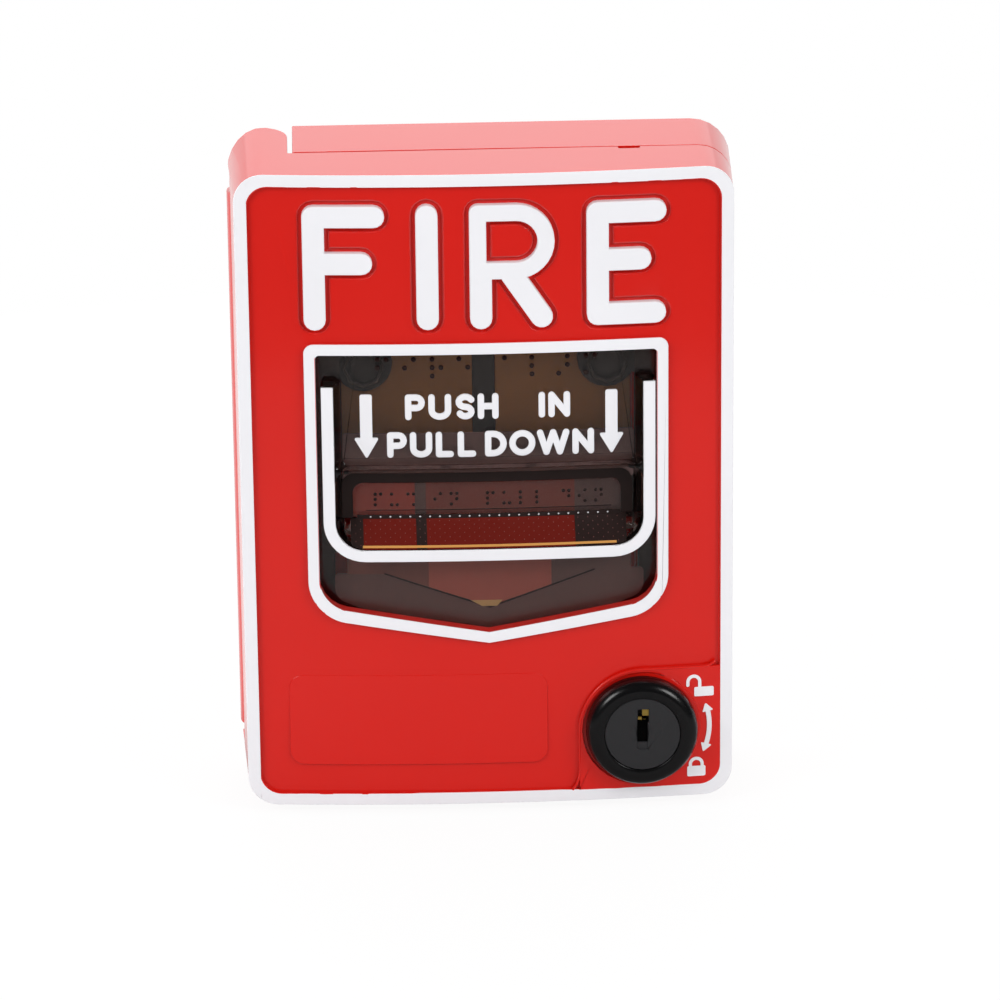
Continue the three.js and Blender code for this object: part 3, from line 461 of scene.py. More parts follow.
class CALLPOINT_OT_finishes(bpy.types.Operator):
    """Makes the materials and gives each CAD node its own"""

    bl_idname = "callpoint.finishes"
    bl_label = "Finishes"

    def execute(self, context):
        c = colours()
        for key, (name, roughness, *options) in MOULDED.items():
            MATERIALS[key] = moulded(name, getattr(c, key), roughness, **dict(*options))
        MATERIALS["smoked"] = smoked("Smoked polycarbonate", c.smoke, SMOKE_PER_METRE)
        MATERIALS["steel"] = plated("Zinc-plated steel", c.steel, 0.34)
        MATERIALS["spring"] = plated("Blackened spring steel", c.spring, 0.45)
        MATERIALS["brass"] = plated("Turned brass", c.brass, 0.3)
        for name, node in frame["nodes"].items():
            for place in node.material_slots:
                place.material = MATERIALS[finish_of(name)]
        return {"FINISHED"}


# The pen's paths in each large letter
WORD = {
    "f": [[(-34.77, 37.75), (-34.77, 59.35), (-22.55, 59.35)], [(-34.77, 49.5), (-25.15, 49.5)]],
    "i": [[(-11.8, 59.5), (-11.8, 37.75)]],
    "r": [[(-0.95, 37.75), (-0.95, 46.6)], [(5.2, 47.1), (11.4, 37.85)]],
    "e": [
        [(22.85, 59.35), (34.65, 59.35)], [(22.85, 49.35), (31.55, 49.35)], [(22.85, 37.95), (34.55, 37.95)],
        [(22.85, 59.35), (22.85, 37.95)],
    ],
}
# The bowl of the R has a pen that is slimmer by this much on each side
BOWL = [
    [(-1.48, 46.6), (-1.48, 59.88)],
    [(-1.48, 59.88)] + arc(6.3, 53.8, 6.08, 90, -90, 16) + [(-1.48, 47.72)],
]
SLIM = 0.53
# Depths of the letters' faces and of the red face round them, and how deep the moat sinks below it
WORD_TOP = 0.05
WORD_FACE = 1.0
MOAT_DEPTH = 0.85


def broken(path):
    """Splits a path at its sharp corners, so that each stroke bends gently."""
    path = [p for i, p in enumerate(path) if i == 0 or math.dist(p, path[i - 1]) > 0.01]
    parts, run = [], [path[0]]
    for i in range(1, len(path)):
        run.append(path[i])
        if i < len(path) - 1:
            a = Vector(path[i]) - Vector(path[i - 1])
            b = Vector(path[i + 1]) - Vector(path[i])
            if a.angle(b) > math.radians(40):
                parts.append(run)
                run = [path[i]]
    return parts + [run]


def strokes_solid(name, paths, levels, across=0, flat=False):
    """Pen strokes as one solid. A level is the pen's radius there and its depth, from rear to front."""
    made = []
    parts = [part for path in paths for part in broken(path)]
    for k, part in enumerate(parts):
        shape = loft([
            (stroke(part, radius + HAIR * k, flat), depth - HAIR / 2 * k) for radius, depth in levels])
        made.append(as_object(name, shape))
    whole = combine(made[0], made[1:], "UNION")
    whole.name = name
    return bend_piece(whole, across)


def word_solid(name, letter, levels):
    """A letter of the large word as one solid, with the bowl of the R a little further out."""
    whole = strokes_solid(name, WORD[letter], levels)
    if letter == "r":
        thin = [(radius - SLIM, depth - 0.02) for radius, depth in levels]
        combine(whole, [strokes_solid("bowl", BOWL, thin)], "UNION")
    return whole


class CALLPOINT_OT_cover(bpy.types.Operator):
    """Rounds the cover's edges and sinks a moat round each large letter"""

    bl_idname = "callpoint.cover"
    bl_label = "Front cover"

    def execute(self, context):
        cover = round_edges(merged_copy("front_cover", "cover"), sizes().edge)
        radius = sizes().word_stroke / MM / 2
        moat = radius + sizes().word_moat / MM
        levels = [
            (moat - 0.05, WORD_FACE + MOAT_DEPTH), (moat, WORD_FACE + 0.25), (moat + 0.4, WORD_FACE - 0.02),
            (moat + 0.4, -2),
        ]
        for letter in WORD:
            combine(cover, [word_solid("moat", letter, levels)], "DIFFERENCE")
        finish_piece(smooth(cover), "door", "red", ["front_cover"])
        return {"FINISHED"}


class CALLPOINT_OT_word(bpy.types.Operator):
    """Adds the four large white letters"""

    bl_idname = "callpoint.word"
    bl_label = "Large word"

    def execute(self, context):
        radius = sizes().word_stroke / MM / 2
        levels = [
            (radius, WORD_FACE + MOAT_DEPTH + 0.05), (radius, WORD_TOP + 0.15), (radius - 0.15, WORD_TOP),
        ]
        for letter in WORD:
            whiten(word_solid(f"letter_{letter}", letter, levels), "door")
        return {"FINISHED"}


def rounded(corners, steps=6):
    """The outline through corners of (x, z, radius), with each corner rounded."""
    shape = bmesh.new()
    verts = [shape.verts.new((x, 0, z)) for x, z, radius in corners]
    shape.faces.new(verts)
    count = len(corners)
    for i, (x, z, radius) in enumerate(corners):
        if not radius:
            continue
        here = Vector((x, z))
        back = Vector(corners[i - 1][:2]) - here
        on = Vector(corners[(i + 1) % count][:2]) - here
        reach = radius / math.tan(back.angle(on) / 2)
        bmesh.ops.bevel(
            shape, geom=[verts[i]], affect="VERTICES", offset=reach, segments=steps, profile=0.5,
            material=-1)
    shape.faces.ensure_lookup_table()
    points = [Vector((v.co.x, v.co.z)) for v in shape.faces[0].verts]
    shape.free()
    return points


def rounded_box(left, right, low, high, radius, steps):
    return rounded([(x, z, radius) for x, z in box_corners(left, right, low, high)], steps)


def ring(name, outer, inner, front, rear, taper=None):
    """A flat band between two outlines, bent to the crown."""
    made = []
    for outline, low, high in ((outer, rear, front), (inner, rear + 1, front - 1)):
        made.append(as_object(name, slab(outline, low, high)))
    whole = bend_piece(combine(made[0], made[1:], "DIFFERENCE"))
    if taper:
        for vert in whole.data.vertices:
            vert.co.x, vert.co.z = taper(*vert.co)
    return whole


# Half sizes of the housing at the wall, how far its sides lean in, and the bead on its edge
HALF_WIDTH = 52.33
HALF_HEIGHT = 69.85
DRAW = 1.8
BEAD = {"width": 2.5, "outer_corner": 6, "inner_corner": 4.2}
# White caps: how far they stand out of the bead all round, how far down they reach, and their rounding
LAP = 0.02
CAP_REAR = 0.4
CAP_EDGE = 0.0002
WINDOW = {"half": 34.9, "top": 30.2, "low": -24.1, "tip": -30.0, "corner": 6.7, "bead": 2.33}
RIM = {"half": 34.2, "line": 2.45, "top": 23.45, "bottom": -14.3, "corner": 8.5, "across": 0.35}
PANEL_DEPTH = 3.6


def drafted(x, y, z):
    """The housing narrows towards its front, so a point on the front moves out with its depth."""
    share = -y / MM / FRONT
    return (x * (HALF_WIDTH - DRAW * share) / (HALF_WIDTH - DRAW),
            z * (HALF_HEIGHT - DRAW * share) / (HALF_HEIGHT - DRAW))


def window_outline(grow, corner):
    """The window with its V-shaped lower edge, grown on every side, with a radius for its upper corners."""
    x = WINDOW["half"] + grow
    low = WINDOW["low"] - grow
    return rounded([
        (-x, low, WINDOW["corner"] + grow), (0, WINDOW["tip"] - grow, 0), (x, low, WINDOW["corner"] + grow),
        (x, WINDOW["top"] + grow, corner), (-x, WINDOW["top"] + grow, corner)], 14)


class CALLPOINT_OT_beads(bpy.types.Operator):
    """Adds the white caps of the outer bead, the window's bead and the handle's line"""

    bl_idname = "callpoint.beads"
    bl_label = "White lines"

    def execute(self, context):
        x = HALF_WIDTH - DRAW + LAP
        z = HALF_HEIGHT - DRAW + LAP
        outer = rounded_box(-x, x, -z, z, BEAD["outer_corner"], 10)
        x -= BEAD["width"] + 2 * LAP
        z -= BEAD["width"] + 2 * LAP
        inner = rounded_box(-x, x, -z, z, BEAD["inner_corner"], 10)
        piece = ring("bead_cap", outer, inner, -LAP, CAP_REAR, drafted)
        whiten(round_edges(piece, CAP_EDGE), "door")
        outer = window_outline(WINDOW["bead"] + LAP, 2)
        piece = ring("window_cap", outer, window_outline(-LAP, 0.8), -LAP, CAP_REAR)
        whiten(round_edges(piece, CAP_EDGE), "door")
        middle = RIM["half"] - RIM["line"] / 2
        turn = RIM["corner"] - RIM["line"] / 2
        low = RIM["bottom"] + RIM["line"] / 2
        path = (
            [(-middle, RIM["top"])] + arc(turn - middle, low + turn, turn, 180, 270)
            + arc(middle - turn, low + turn, turn, 270, 360) + [(middle, RIM["top"])])
        width = RIM["line"] / 2 + LAP
        piece = strokes_solid("handle_line", [path], [(width, CAP_REAR), (width, -LAP)], RIM["across"], True)
        whiten(round_edges(piece, CAP_EDGE), "handle")
        return {"FINISHED"}


# The small letters: the pen's paths in a box of height 1, and its width
GLYPHS = {
    "P": ([[(0, 0), (0, 1)], [(0, 1)] + arc(0.44, 0.73, 0.27, 90, -90, 8) + [(0, 0.46)]], 0.71),
    "U": ([[(0, 1)] + arc(0.32, 0.32, 0.32, 180, 360, 10) + [(0.64, 1)]], 0.64),
    "S": ([arc(0.31, 0.74, 0.26, 25, 270, 10) + arc(0.31, 0.24, 0.24, 90, -155, 10)], 0.57),
    "H": ([[(0, 0), (0, 1)], [(0.6, 0), (0.6, 1)], [(0, 0.5), (0.6, 0.5)]], 0.6),
    "I": ([[(0, 0), (0, 1)]], 0),
    "N": ([[(0, 0), (0, 1), (0.62, 0), (0.62, 1)]], 0.62),
    "L": ([[(0, 1), (0, 0), (0.5, 0)]], 0.5),
    "D": ([[(0, 0), (0, 1)] + arc(0.25, 0.5, 0.5, 90, -90, 12) + [(0, 0)]], 0.75),
    "O": ([arc(0.45, 0.5, 0.5, 90, 270, 12), arc(0.45, 0.5, 0.5, 90, -90, 12)], 0.9),
    "W": ([[(0, 1), (0.27, 0), (0.56, 1), (0.85, 0), (1.12, 1)]], 1.12),
}
# Braille: the raised dots of each sign, counted down its left and then its right column
CELLS = {
    "a": (1,), "d": (1, 4, 5), "e": (1, 5), "f": (1, 2, 4), "i": (2, 4), "l": (1, 2, 3), "m": (1, 3, 4),
    "n": (1, 3, 4, 5), "p": (1, 2, 3, 4), "r": (1, 2, 3, 5), "u": (1, 3, 6), "sh": (1, 4, 6),
    "ar": (3, 4, 5), "ow": (2, 4, 6),
}
# Each row of braille: its depth, the height of its top dots, their spacing and radius, and its signs
BRAILLE = {
    "upper": (3.6, 28.3, 1.8, 0.55, (
        ("f", -22.2), ("i", -16.6), ("r", -11.0), ("e", -5.5), ("a", 3.8), ("l", 9.4), ("ar", 14.9),
        ("m", 20.5))),
    "lower": (5.8, -1.4, 1.15, 0.38, (
        ("p", -23.1), ("u", -19.7), ("sh", -16.3), ("i", -10.75), ("n", -7.4), ("p", 0.1), ("u", 3.5),
        ("l", 6.9), ("l", 10.3), ("d", 15.8), ("ow", 19.1), ("n", 22.5))),
}
# Each letter's left and right edge, by the top of its row
ROWS = {
    20.85: (("P", -16.7, -12.6), ("U", -11.9, -7.2), ("S", -6.6, -2.3), ("H", -1.8, 2.5), ("I", 10.7, 11.98),
            ("N", 12.7, 17.2)),
    12.75: (("P", -20.5, -16.4), ("U", -15.8, -11.2), ("L", -10.5, -6.8), ("L", -6.0, -2.2),
            ("D", -0.4, 4.1), ("O", 4.8, 9.8), ("W", 10.3, 17.0), ("N", 17.6, 22.1)),
}
CAP_HEIGHT = 5.5
# The arrows beside the words, from the tip up
ARROW = {"tip": 7.1, "neck": 11.2, "barb": 11.6, "top": 20.9, "shaft": 1.25, "head": 2.6}
ARROWS = (("left", -24.7), ("right", 25.7))


class CALLPOINT_OT_panel_words(bpy.types.Operator):
    """Adds the raised white words and arrows on the handle"""

    bl_idname = "callpoint.panel_words"
    bl_label = "Words on the handle"

    def execute(self, context):
        pen = sizes().panel_stroke / MM / 2
        levels = [(pen, PANEL_DEPTH + 0.1), (pen, PANEL_DEPTH - 0.25), (pen - 0.1, PANEL_DEPTH - 0.35)]
        tall = CAP_HEIGHT - 2 * pen
        count = 0
        for top, letters in ROWS.items():
            for glyph, left, right in letters:
                paths, width = GLYPHS[glyph]
                wide = (right - left - 2 * pen) / width if width else 0
                low = top - CAP_HEIGHT + pen
                placed = [[(left + pen + x * wide, low + z * tall) for x, z in path] for path in paths]
                count += 1
                whiten(strokes_solid(f"panel_letter_{count}", placed, levels), "handle")
        for name, x in ARROWS:
            half, wide = ARROW["shaft"], ARROW["head"]
            shaft = box_corners(x - half, x + half, ARROW["neck"], ARROW["top"])
            head = [(x - wide, ARROW["barb"]), (x, ARROW["tip"]), (x + wide, ARROW["barb"])]
            solids = []
            for corners, radius, lift in ((shaft, 0.45, 0), (head, 0.3, HAIR)):
                outline = rounded([(*corner, radius) for corner in corners], 3)
                shape = slab(outline, PANEL_DEPTH + 0.1, PANEL_DEPTH - 0.35 - lift)
                solids.append(as_object("arrow", shape))
            piece = combine(solids[0], solids[1:], "UNION")
            piece.name = f"arrow_{name}"
            whiten(bend_piece(piece), "handle")
        return {"FINISHED"}


class CALLPOINT_OT_braille(bpy.types.Operator):
    """Adds the small raised dots above the words and on the finger pad"""

    bl_idname = "callpoint.braille"
    bl_label = "Braille"

    def execute(self, context):
        for name, (depth, top, spacing, radius, signs) in BRAILLE.items():
            dots = bmesh.new()
            for sign, left in signs:
                for dot in CELLS[sign]:
                    column, row = divmod(dot - 1, 3)
                    place = Matrix.Translation((left + column * spacing, depth, top - row * spacing))
                    bmesh.ops.create_uvsphere(
                        dots, u_segments=10, v_segments=6, radius=radius,
                        matrix=place @ Matrix.Rotation(math.pi / 2, 4, "X"))
            bend(dots)
            # The dots take the shade finish: painted shade, so that they look dark in the smoked handle
            finish_piece(smooth(as_object(f"braille_{name}", dots)), "handle", "shade")
        return {"FINISHED"}


# The slope under the finger pad, the grip points on it, and the row of facets along its top; the points and
# facets are coloured as painted highlights and glints
SLOPE = {"top": -6.6, "low": -11.85, "rear": 6.2, "front": 0.6, "half": 30.2}
KNURL = {"pitch": 2.046, "row": 0.65, "size": 0.17}
SERRATION = {"across": 0.1, "half": 24.55, "depth": 5.85, "z": -6.4, "size": 0.3}
# Strips on the slope of the pocket, in painted light and shade: an amber line as a painted highlight, the
# red retainer seen through with its light painted in, and painted shade. Each has a finish, left, right,
# low, high, and how far it stands proud
SLOPE_STRIPS = (
    ("lit_edge", "amber", -26.2, 26.2, -11.5, -11.12, 0.1),
    ("slope_red_left", "deep", -26, -15.1, -11.75, -6.75, 0.04),
    ("slope_red_middle", "deep", -12.9, 17.7, -11.75, -6.75, 0.04),
    ("slope_dark_slot", "shade", -15.1, -12.9, -11.75, -6.75, 0.03),
    ("slope_dark_left", "shade", -28.6, -26, -11.6, -6.75, 0.03),
    ("slope_dark_right", "shade", 17.7, 28.4, -11.6, -6.75, 0.03),
)
# Sheets behind the handle that paint the light and shade seen through it: the parts behind in the tones they
# show there, lit or shaded, dark bands and lines of painted shade, and a painted amber glint. Each has a
# finish, outline, rear and front depth
FILMS = (
    ("pad_ledge_shade", "shade", box_corners(-25.4, 25.4, -4.98, -4.82), 5.9, 5.74),
    ("pocket_shadow", "shade", box_corners(-27.2, 27.2, -6.85, -5.95), 6.1, 5.92),
    ("panel_film", "film", rounded_box(-30.1, 30.1, 1, 11.9, 1, 6), 6.5, 6.2),
    ("pad_film_left", "film_red", box_corners(-29, -15.2, -7, 2.4), 8.9, 8.6),
    ("pad_film_middle", "film_rose", box_corners(-12.9, 17.8, -7, 2.4), 8.9, 8.6),
    ("pad_film_right", "film", box_corners(17.8, 29, -7, 2.4), 8.9, 8.6),
    ("pad_film_slot", "film", box_corners(-15.2, -12.9, -7, 2.4), 8.9, 8.6),
    ("arm_film_left", "shade", rounded_box(-37, -30.2, -14, 31, 1, 6), 6.5, 6.2),
    ("arm_film_right", "shade", rounded_box(30.2, 37, -14, 31, 1, 6), 6.5, 6.2),
    ("low_film_middle", "film_pink", [
        (-12.6, -15), (12.8, -15), (12.8, -21.9), (0, -26.3), (-12.6, -21.9)], 6.5, 6.2),
    ("low_film_left", "film_warm", [
        (-29.4, -15), (-12.6, -15), (-12.6, -21.9), (-21.8, -18.7), (-29.4, -18.7)], 6.5, 6.2),
    ("low_film_right", "film", [
        (12.8, -15), (29.4, -15), (29.4, -18.7), (21.8, -18.7), (12.8, -21.9)], 6.5, 6.2),
    ("apron", "film", rounded([
        (-32, -24.2, 3), (-26, -26.6, 2), (0, -31, 0), (26, -26.6, 2), (32, -24.2, 3), (32, -18.65, 1),
        (22, -18.65, 0), (0, -26.15, 0), (-22, -18.65, 0), (-32, -18.65, 1)]), 6.8, 6.52),
    ("apron_line", "shade", [
        (-21.8, -18.75), (0, -26.4), (21.8, -18.75), (21.8, -18.45), (0, -26.0), (-21.8, -18.45),
    ], 6.4, 6.12),
    ("apron_glint", "glow", [(-1.6, -26.0), (1.5, -26.0), (2.6, -24.7), (-3.9, -24.7)], 6.5, 6.08),
)
# Roundings, in metres
HANDLE_EDGE = 0.00022
KEYWAY_EDGE = 0.0001
# The finger pocket, and the pad with a band of painted shade round it: half width, top, low and corner
# radius
POCKET = (30.15, 3.1, -6.6, 3)
PAD = (27.7, 1.05, -7.6, 2.2)
PAD_DEPTH = 5.8


def slope_depth(z):
    """How deep the slope lies at a height."""
    share = (SLOPE["top"] - z) / (SLOPE["top"] - SLOPE["low"])
    return SLOPE["rear"] + (SLOPE["front"] - SLOPE["rear"]) * share


class CALLPOINT_OT_handle(bpy.types.Operator):
    """Makes the smoked handle with rounded edges"""

    bl_idname = "callpoint.handle"
    bl_label = "Pull handle"

    def execute(self, context):
        dress("pull_handle", "handle", "smoked_handle", "smoked", HANDLE_EDGE, 3)
        return {"FINISHED"}


class CALLPOINT_OT_grip(bpy.types.Operator):
    """Adds the grip points, facets and lit edge of the finger pocket, and the films behind the handle; the
    points carry painted highlights, the facets painted glints, the edge a painted amber highlight, and the
    films painted light and shade
    """

    bl_idname = "callpoint.grip"
    bl_label = "Grip pattern"

    def execute(self, context):
        rows = round((SLOPE["top"] - SLOPE["low"]) / KNURL["row"]) - 1
        self.scatter("grip_points", "points", [
            (x, slope_depth(z), z)
            for z, x in self.staggered(rows)
            if abs(x) < SLOPE["half"] - 1 - max(0, SLOPE["top"] - 3 - z) * 1.3
        ], KNURL["size"])
        count = round(SERRATION["half"] / KNURL["pitch"])
        self.scatter("facets", "glint", [
            (SERRATION["across"] + i * KNURL["pitch"], SERRATION["depth"], SERRATION["z"])
            for i in range(-count, count + 1)
        ], SERRATION["size"])
        for name, finish, outline, rear, front in FILMS:
            self.add(name, finish, slab(outline, rear, front))
        walls = [
            rounded([(-half, low, 0), (half, low, 0), (half, top, corner), (-half, top, corner)], 8)
            for half, top, low, corner in (POCKET, PAD)]
        # A ring of painted shade round the pad
        piece = ring("pocket_shade", *walls, PAD_DEPTH + 0.05, PAD_DEPTH + 0.3)
        finish_piece(smooth(piece), "handle", "shade")
        for name, finish, left, right, low, high, proud in SLOPE_STRIPS:
            shape = slab(box_corners(left, right, low, high), 0.5, 0)
            for vert in shape.verts:
                vert.co.y += slope_depth(vert.co.z) - proud
            self.add(name, finish, shape)
        return {"FINISHED"}

    def add(self, name, finish, shape):
        finish_piece(as_object(name, bend(shape, RIM["across"])), "handle", finish)

    def staggered(self, rows):
        """Heights and places across of the grip points, each row half a pitch beside the last."""
        count = int(SLOPE["half"] / KNURL["pitch"])
        for row in range(rows):
            for i in range(-count, count + 1):
                yield SLOPE["top"] - (row + 1) * KNURL["row"], (i + (row % 2) / 2) * KNURL["pitch"]

    def scatter(self, name, finish, places, size):
        """Small blunt pyramids, as one piece."""
        shape = bmesh.new()
        for x, depth, z in places:
            bmesh.ops.create_cone(
                shape, cap_ends=True, segments=4, radius1=size, radius2=size * 0.25, depth=size * 1.2,
                matrix=Matrix.Translation((x, depth, z)) @ Matrix.Rotation(math.pi / 2, 4, "X"))
        self.add(name, finish, shape)


# The lock's axis, and how far forward its seat lies
LOCK = {"x": 31.6, "z": -52.5, "seat": -33.6}
# The bezel's radii, and heights over its seat: a wall to the step, a shoulder, and a flank to the bore
BEZEL = {
    "outer": 11.65, "crest": 9.35, "inner": 10.4, "bore": 8.0,
    "low": 0.3, "collar": 1.6, "step": 2.2, "high": 4.45, "chamfer": 0.1, "over_plug": 0.12,
}
# What is filled and cut in the plug: left, right, low, high, and its rear and front behind the plug's face
KEYWAY_FILL = (30.3, 32.9, -56.2, -54.35), 3, 0.3
KEYWAY_CUT = (30.55, 32.95, -50.0, -46.95), 2.4, -1
# What shows in the keyway: left, right, low, high, depth behind the plug's face, slot and finish
KEYWAY_PIECES = (
    ("tip_high", (31.5, 32.93, -48.5, -47.05), 0.35, "brass", "brass"),
    ("tip_low", (30.58, 31.45, -49.4, -48.65), 0.45, "brass", "brass"),
    # Painted shade: a black block just behind the plug's face that darkens the keyway and hides the wafers
    ("shade", (30.45, 32.75, -54.5, -49.5), 1, "dark_plastic", "void"),
)
KEYWAY_THICKNESS = 0.7


class CALLPOINT_OT_lock(bpy.types.Operator):
    """Spins the glossy bezel and finishes the plug with its key slot"""

    bl_idname = "callpoint.lock"
    bl_label = "Key lock"

    def execute(self, context):
        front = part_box("lock_plug")[0][1] / MM
        outer, crest, bore = BEZEL["outer"], BEZEL["crest"], BEZEL["bore"]
        low, step, high = BEZEL["low"], BEZEL["step"], BEZEL["high"]
        rise = LOCK["seat"] - front + BEZEL["over_plug"]
        profile = [
            (bore, BEZEL["collar"]), (BEZEL["inner"], BEZEL["collar"]), (BEZEL["inner"], low),
            (outer - BEZEL["chamfer"], low), (outer, low + BEZEL["chamfer"]),
        ]
        for k in range(13):
            turn = math.radians(90 * k / 12)
            profile.append((
                crest + (outer - crest) * math.cos(turn), step + (high - step) * math.sin(turn) ** 1.2))
        for k in range(1, 9):
            turn = math.radians(90 * k / 8)
            profile.append((
                crest - (crest - bore) * math.sin(turn) ** 1.1,
                rise + (high - rise) * math.cos(turn) ** 1.3))
        shape = bmesh.new()
        verts = [shape.verts.new((LOCK["x"] + r, LOCK["seat"] - up, LOCK["z"])) for r, up in profile]
        edges = [shape.edges.new((a, b)) for a, b in zip(verts, verts[1:] + verts[:1])]
        bmesh.ops.spin(
            shape, geom=verts + edges, cent=(LOCK["x"], 0, LOCK["z"]), axis=(0, 1, 0), angle=2 * math.pi,
            steps=96, use_merge=True)
        bmesh.ops.remove_doubles(shape, verts=shape.verts, dist=1e-4)
        bmesh.ops.recalc_face_normals(shape, faces=shape.faces)
        bmesh.ops.scale(shape, verts=shape.verts, vec=(MM, MM, MM))
        piece = smooth(as_object("bezel", shape), 40)
        finish_piece(piece, "door", "black", ["lock_bezel"])
        piece = round_edges(merged_copy("lock_plug", "plug"), sizes().edge, 3)
        for (sides, rear, face), operation in ((KEYWAY_FILL, "UNION"), (KEYWAY_CUT, "DIFFERENCE")):
            combine(piece, [self.block(sides, front + rear, front + face)], operation)
        finish_piece(smooth(piece), "lock_core", "plug", ["lock_plug"])
        for name, sides, depth, slot, finish in KEYWAY_PIECES:
            piece = self.block(sides, front + depth + KEYWAY_THICKNESS, front + depth)
            piece.name = f"keyway_{name}"
            finish_piece(smooth(round_edges(piece, KEYWAY_EDGE)), "lock_core", finish)
        return {"FINISHED"}

    def block(self, sides, rear, front):
        shape = slab(box_corners(*sides), rear, front)
        bmesh.ops.scale(shape, verts=shape.verts, vec=(MM, MM, MM))
        return as_object("block", shape)


# CAD nodes that get round edges: piece, slot, finish, and the rounding in metres
ROUNDED_NODES = {
    "back_shell": ("shell", "red_shell", "red", 0.0002),
    "handle_retainer": ("retainer_plate", "red_shell", "red", 0.00015),
    "handle_slide": ("slide", "dark_plastic", "dark", 0.00008),
    "module_cover": ("module_lid", "dark_plastic", "dark", 0.0002),
}
# A dark strip in the slot of the retainer plate, as painted shade where the slot looks dark: left, right,
# low and high, and its depth
SLOT = (-15.3, -12.7, -25.3, 8.3)
SLOT_DEPTH = 16.6


class CALLPOINT_OT_shell(bpy.types.Operator):
    """Rounds the edges of the back shell and of the plates behind the handle"""

    bl_idname = "callpoint.shell"
    bl_label = "Shell and inner plates"

    def execute(self, context):
        for node, look in ROUNDED_NODES.items():
            dress(node, *look)
        # A dark strip in the slot, as painted shade
        piece = as_object("slot_shade", bend(slab(box_corners(*SLOT), SLOT_DEPTH + 1, SLOT_DEPTH)))
        finish_piece(piece, "door", "dark")
        return {"FINISHED"}


# Each kind of spring: the bodies at its two ends, the axis along it, and its finish
SPRINGS = {"return": ("door", "slide", 2, "steel"), "push": ("slide", "handle", 1, "spring")}


class CALLPOINT_OT_springs(bpy.types.Operator):
    """Puts a smooth copy in the place of each spring, in its finish, tied to no body"""

    bl_idname = "callpoint.springs"
    bl_label = "Springs"

    def execute(self, context):
        for side in ("left", "right"):
            for kind, (held, moved, axis, finish) in SPRINGS.items():
                node = f"{kind}_spring_{side}"
                low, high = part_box(node)
                middle = [(a + b) / 2 for a, b in zip(low, high)]
                start, end = list(middle), list(middle)
                start[axis] = high[axis]
                end[axis] = low[axis]
                piece = smooth(merged_copy(node, f"coil_{kind}_{side}"))
                finish_piece(piece, None, finish, [node])
                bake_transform(piece)
        return {"FINISHED"}


# The signs are flat: depths of their root and of their top, and the pen of the shackles
SIGN_ROOT = 0.1
SIGN_TOP = -0.12
SHACKLE_PEN = 0.34
# Each padlock: its shackle's path, and the left, right, low and high of its body
PADLOCKS = {
    "open": (
        [(41.35, -43.5)] + arc(42.6, -42.8, 1.25, 180, 0, 12) + [(43.85, -44.4)],
        (42.7, 46.8, -46.05, -44.0)),
    "closed": (
        [(41.9, -61.9)] + arc(43.15, -61.2, 1.25, 180, 0, 12) + [(44.4, -61.9)],
        (41.25, 45.1, -63.9, -61.65)),
}
# The arrow that turns about the lock: its radius, half widths, and angles in degrees
TURN = {"reach": 14.3, "pen": 0.5, "from": 12.5, "to": -17.5, "heads": ((12.2, 1), (-17.2, -1)), "long": 7.8,
        "half": 1.2}
# The lit edge of the lock's raised corner
PAD_EDGE = (
    [(17.2, -65.6), (17.9, -64.6), (18.4, -63.2), (18.65, -61.5)]
    + arc(LOCK["x"], LOCK["z"], 12.95, 180, 90, 16) + [(44.6, -39.6), (46.0, -39.3), (47.0, -38.6)])
# The bare plate: left, right, low and high, corner radius, how far it rises at its top, and per mm below it
PLATE = {"sides": (-41.8, 12.0, -59.3, -39.5), "corner": 3, "rise": 0.06, "wedge": 0.022}


def about_lock(radius, degrees):
    turn = math.radians(degrees)
    return LOCK["x"] + radius * math.cos(turn), LOCK["z"] + radius * math.sin(turn)


class CALLPOINT_OT_signs(bpy.types.Operator):
    """Adds the padlock signs and the turning arrow by the lock, and the bare plate at the lower left"""

    bl_idname = "callpoint.signs"
    bl_label = "Signs and bare plate"

    def execute(self, context):
        for name, (path, body) in PADLOCKS.items():
            shackle = stroke(path, SHACKLE_PEN)
            self.add(f"padlock_{name}", [rounded_box(*body, 0.3, 3), shackle], [HAIR, 0])
        reach = TURN["reach"]
        shaft = arc(LOCK["x"], LOCK["z"], reach, TURN["from"], TURN["to"], 12)
        outlines = [stroke(shaft, TURN["pen"], True)]
        for end, way in TURN["heads"]:
            corners = [(*about_lock(reach + side * TURN["half"], end), 0.15) for side in (-1, 1)]
            corners.append((*about_lock(reach, end + way * TURN["long"]), 0.2))
            outlines.append(rounded(corners, 2))
        self.add("turn_arrow", outlines, [0, HAIR, HAIR * 2])
        levels = [
            (stroke(PAD_EDGE, pen), depth) for pen, depth in ((0.22, 0.6), (0.22, 0.02), (0.1, -0.06))]
        finish_piece(smooth(as_object("lock_pad_edge", bend(loft(levels)))), "door", "red")
        outline = rounded_box(*PLATE["sides"], PLATE["corner"], 6)
        shape = slab(outline, WORD_FACE + 0.2, WORD_FACE - PLATE["rise"])
        for vert in shape.verts:
            if vert.co.y < WORD_FACE:
                vert.co.y -= PLATE["wedge"] * (PLATE["sides"][3] - vert.co.z)
        plate = round_edges(as_object("bare_plate", bend(shape)), sizes().edge, 3)
        finish_piece(smooth(plate), "door", "red")
        return {"FINISHED"}

    def add(self, name, outlines, lifts):
        """Joins flat outlines into one white sign, each a little higher than the others."""
        parts = [
            as_object("sign", slab(outline, SIGN_ROOT, SIGN_TOP - lift))
            for outline, lift in zip(outlines, lifts)]
        piece = combine(parts[0], parts[1:], "UNION")
        piece.name = name
        whiten(bend_piece(piece), "door")


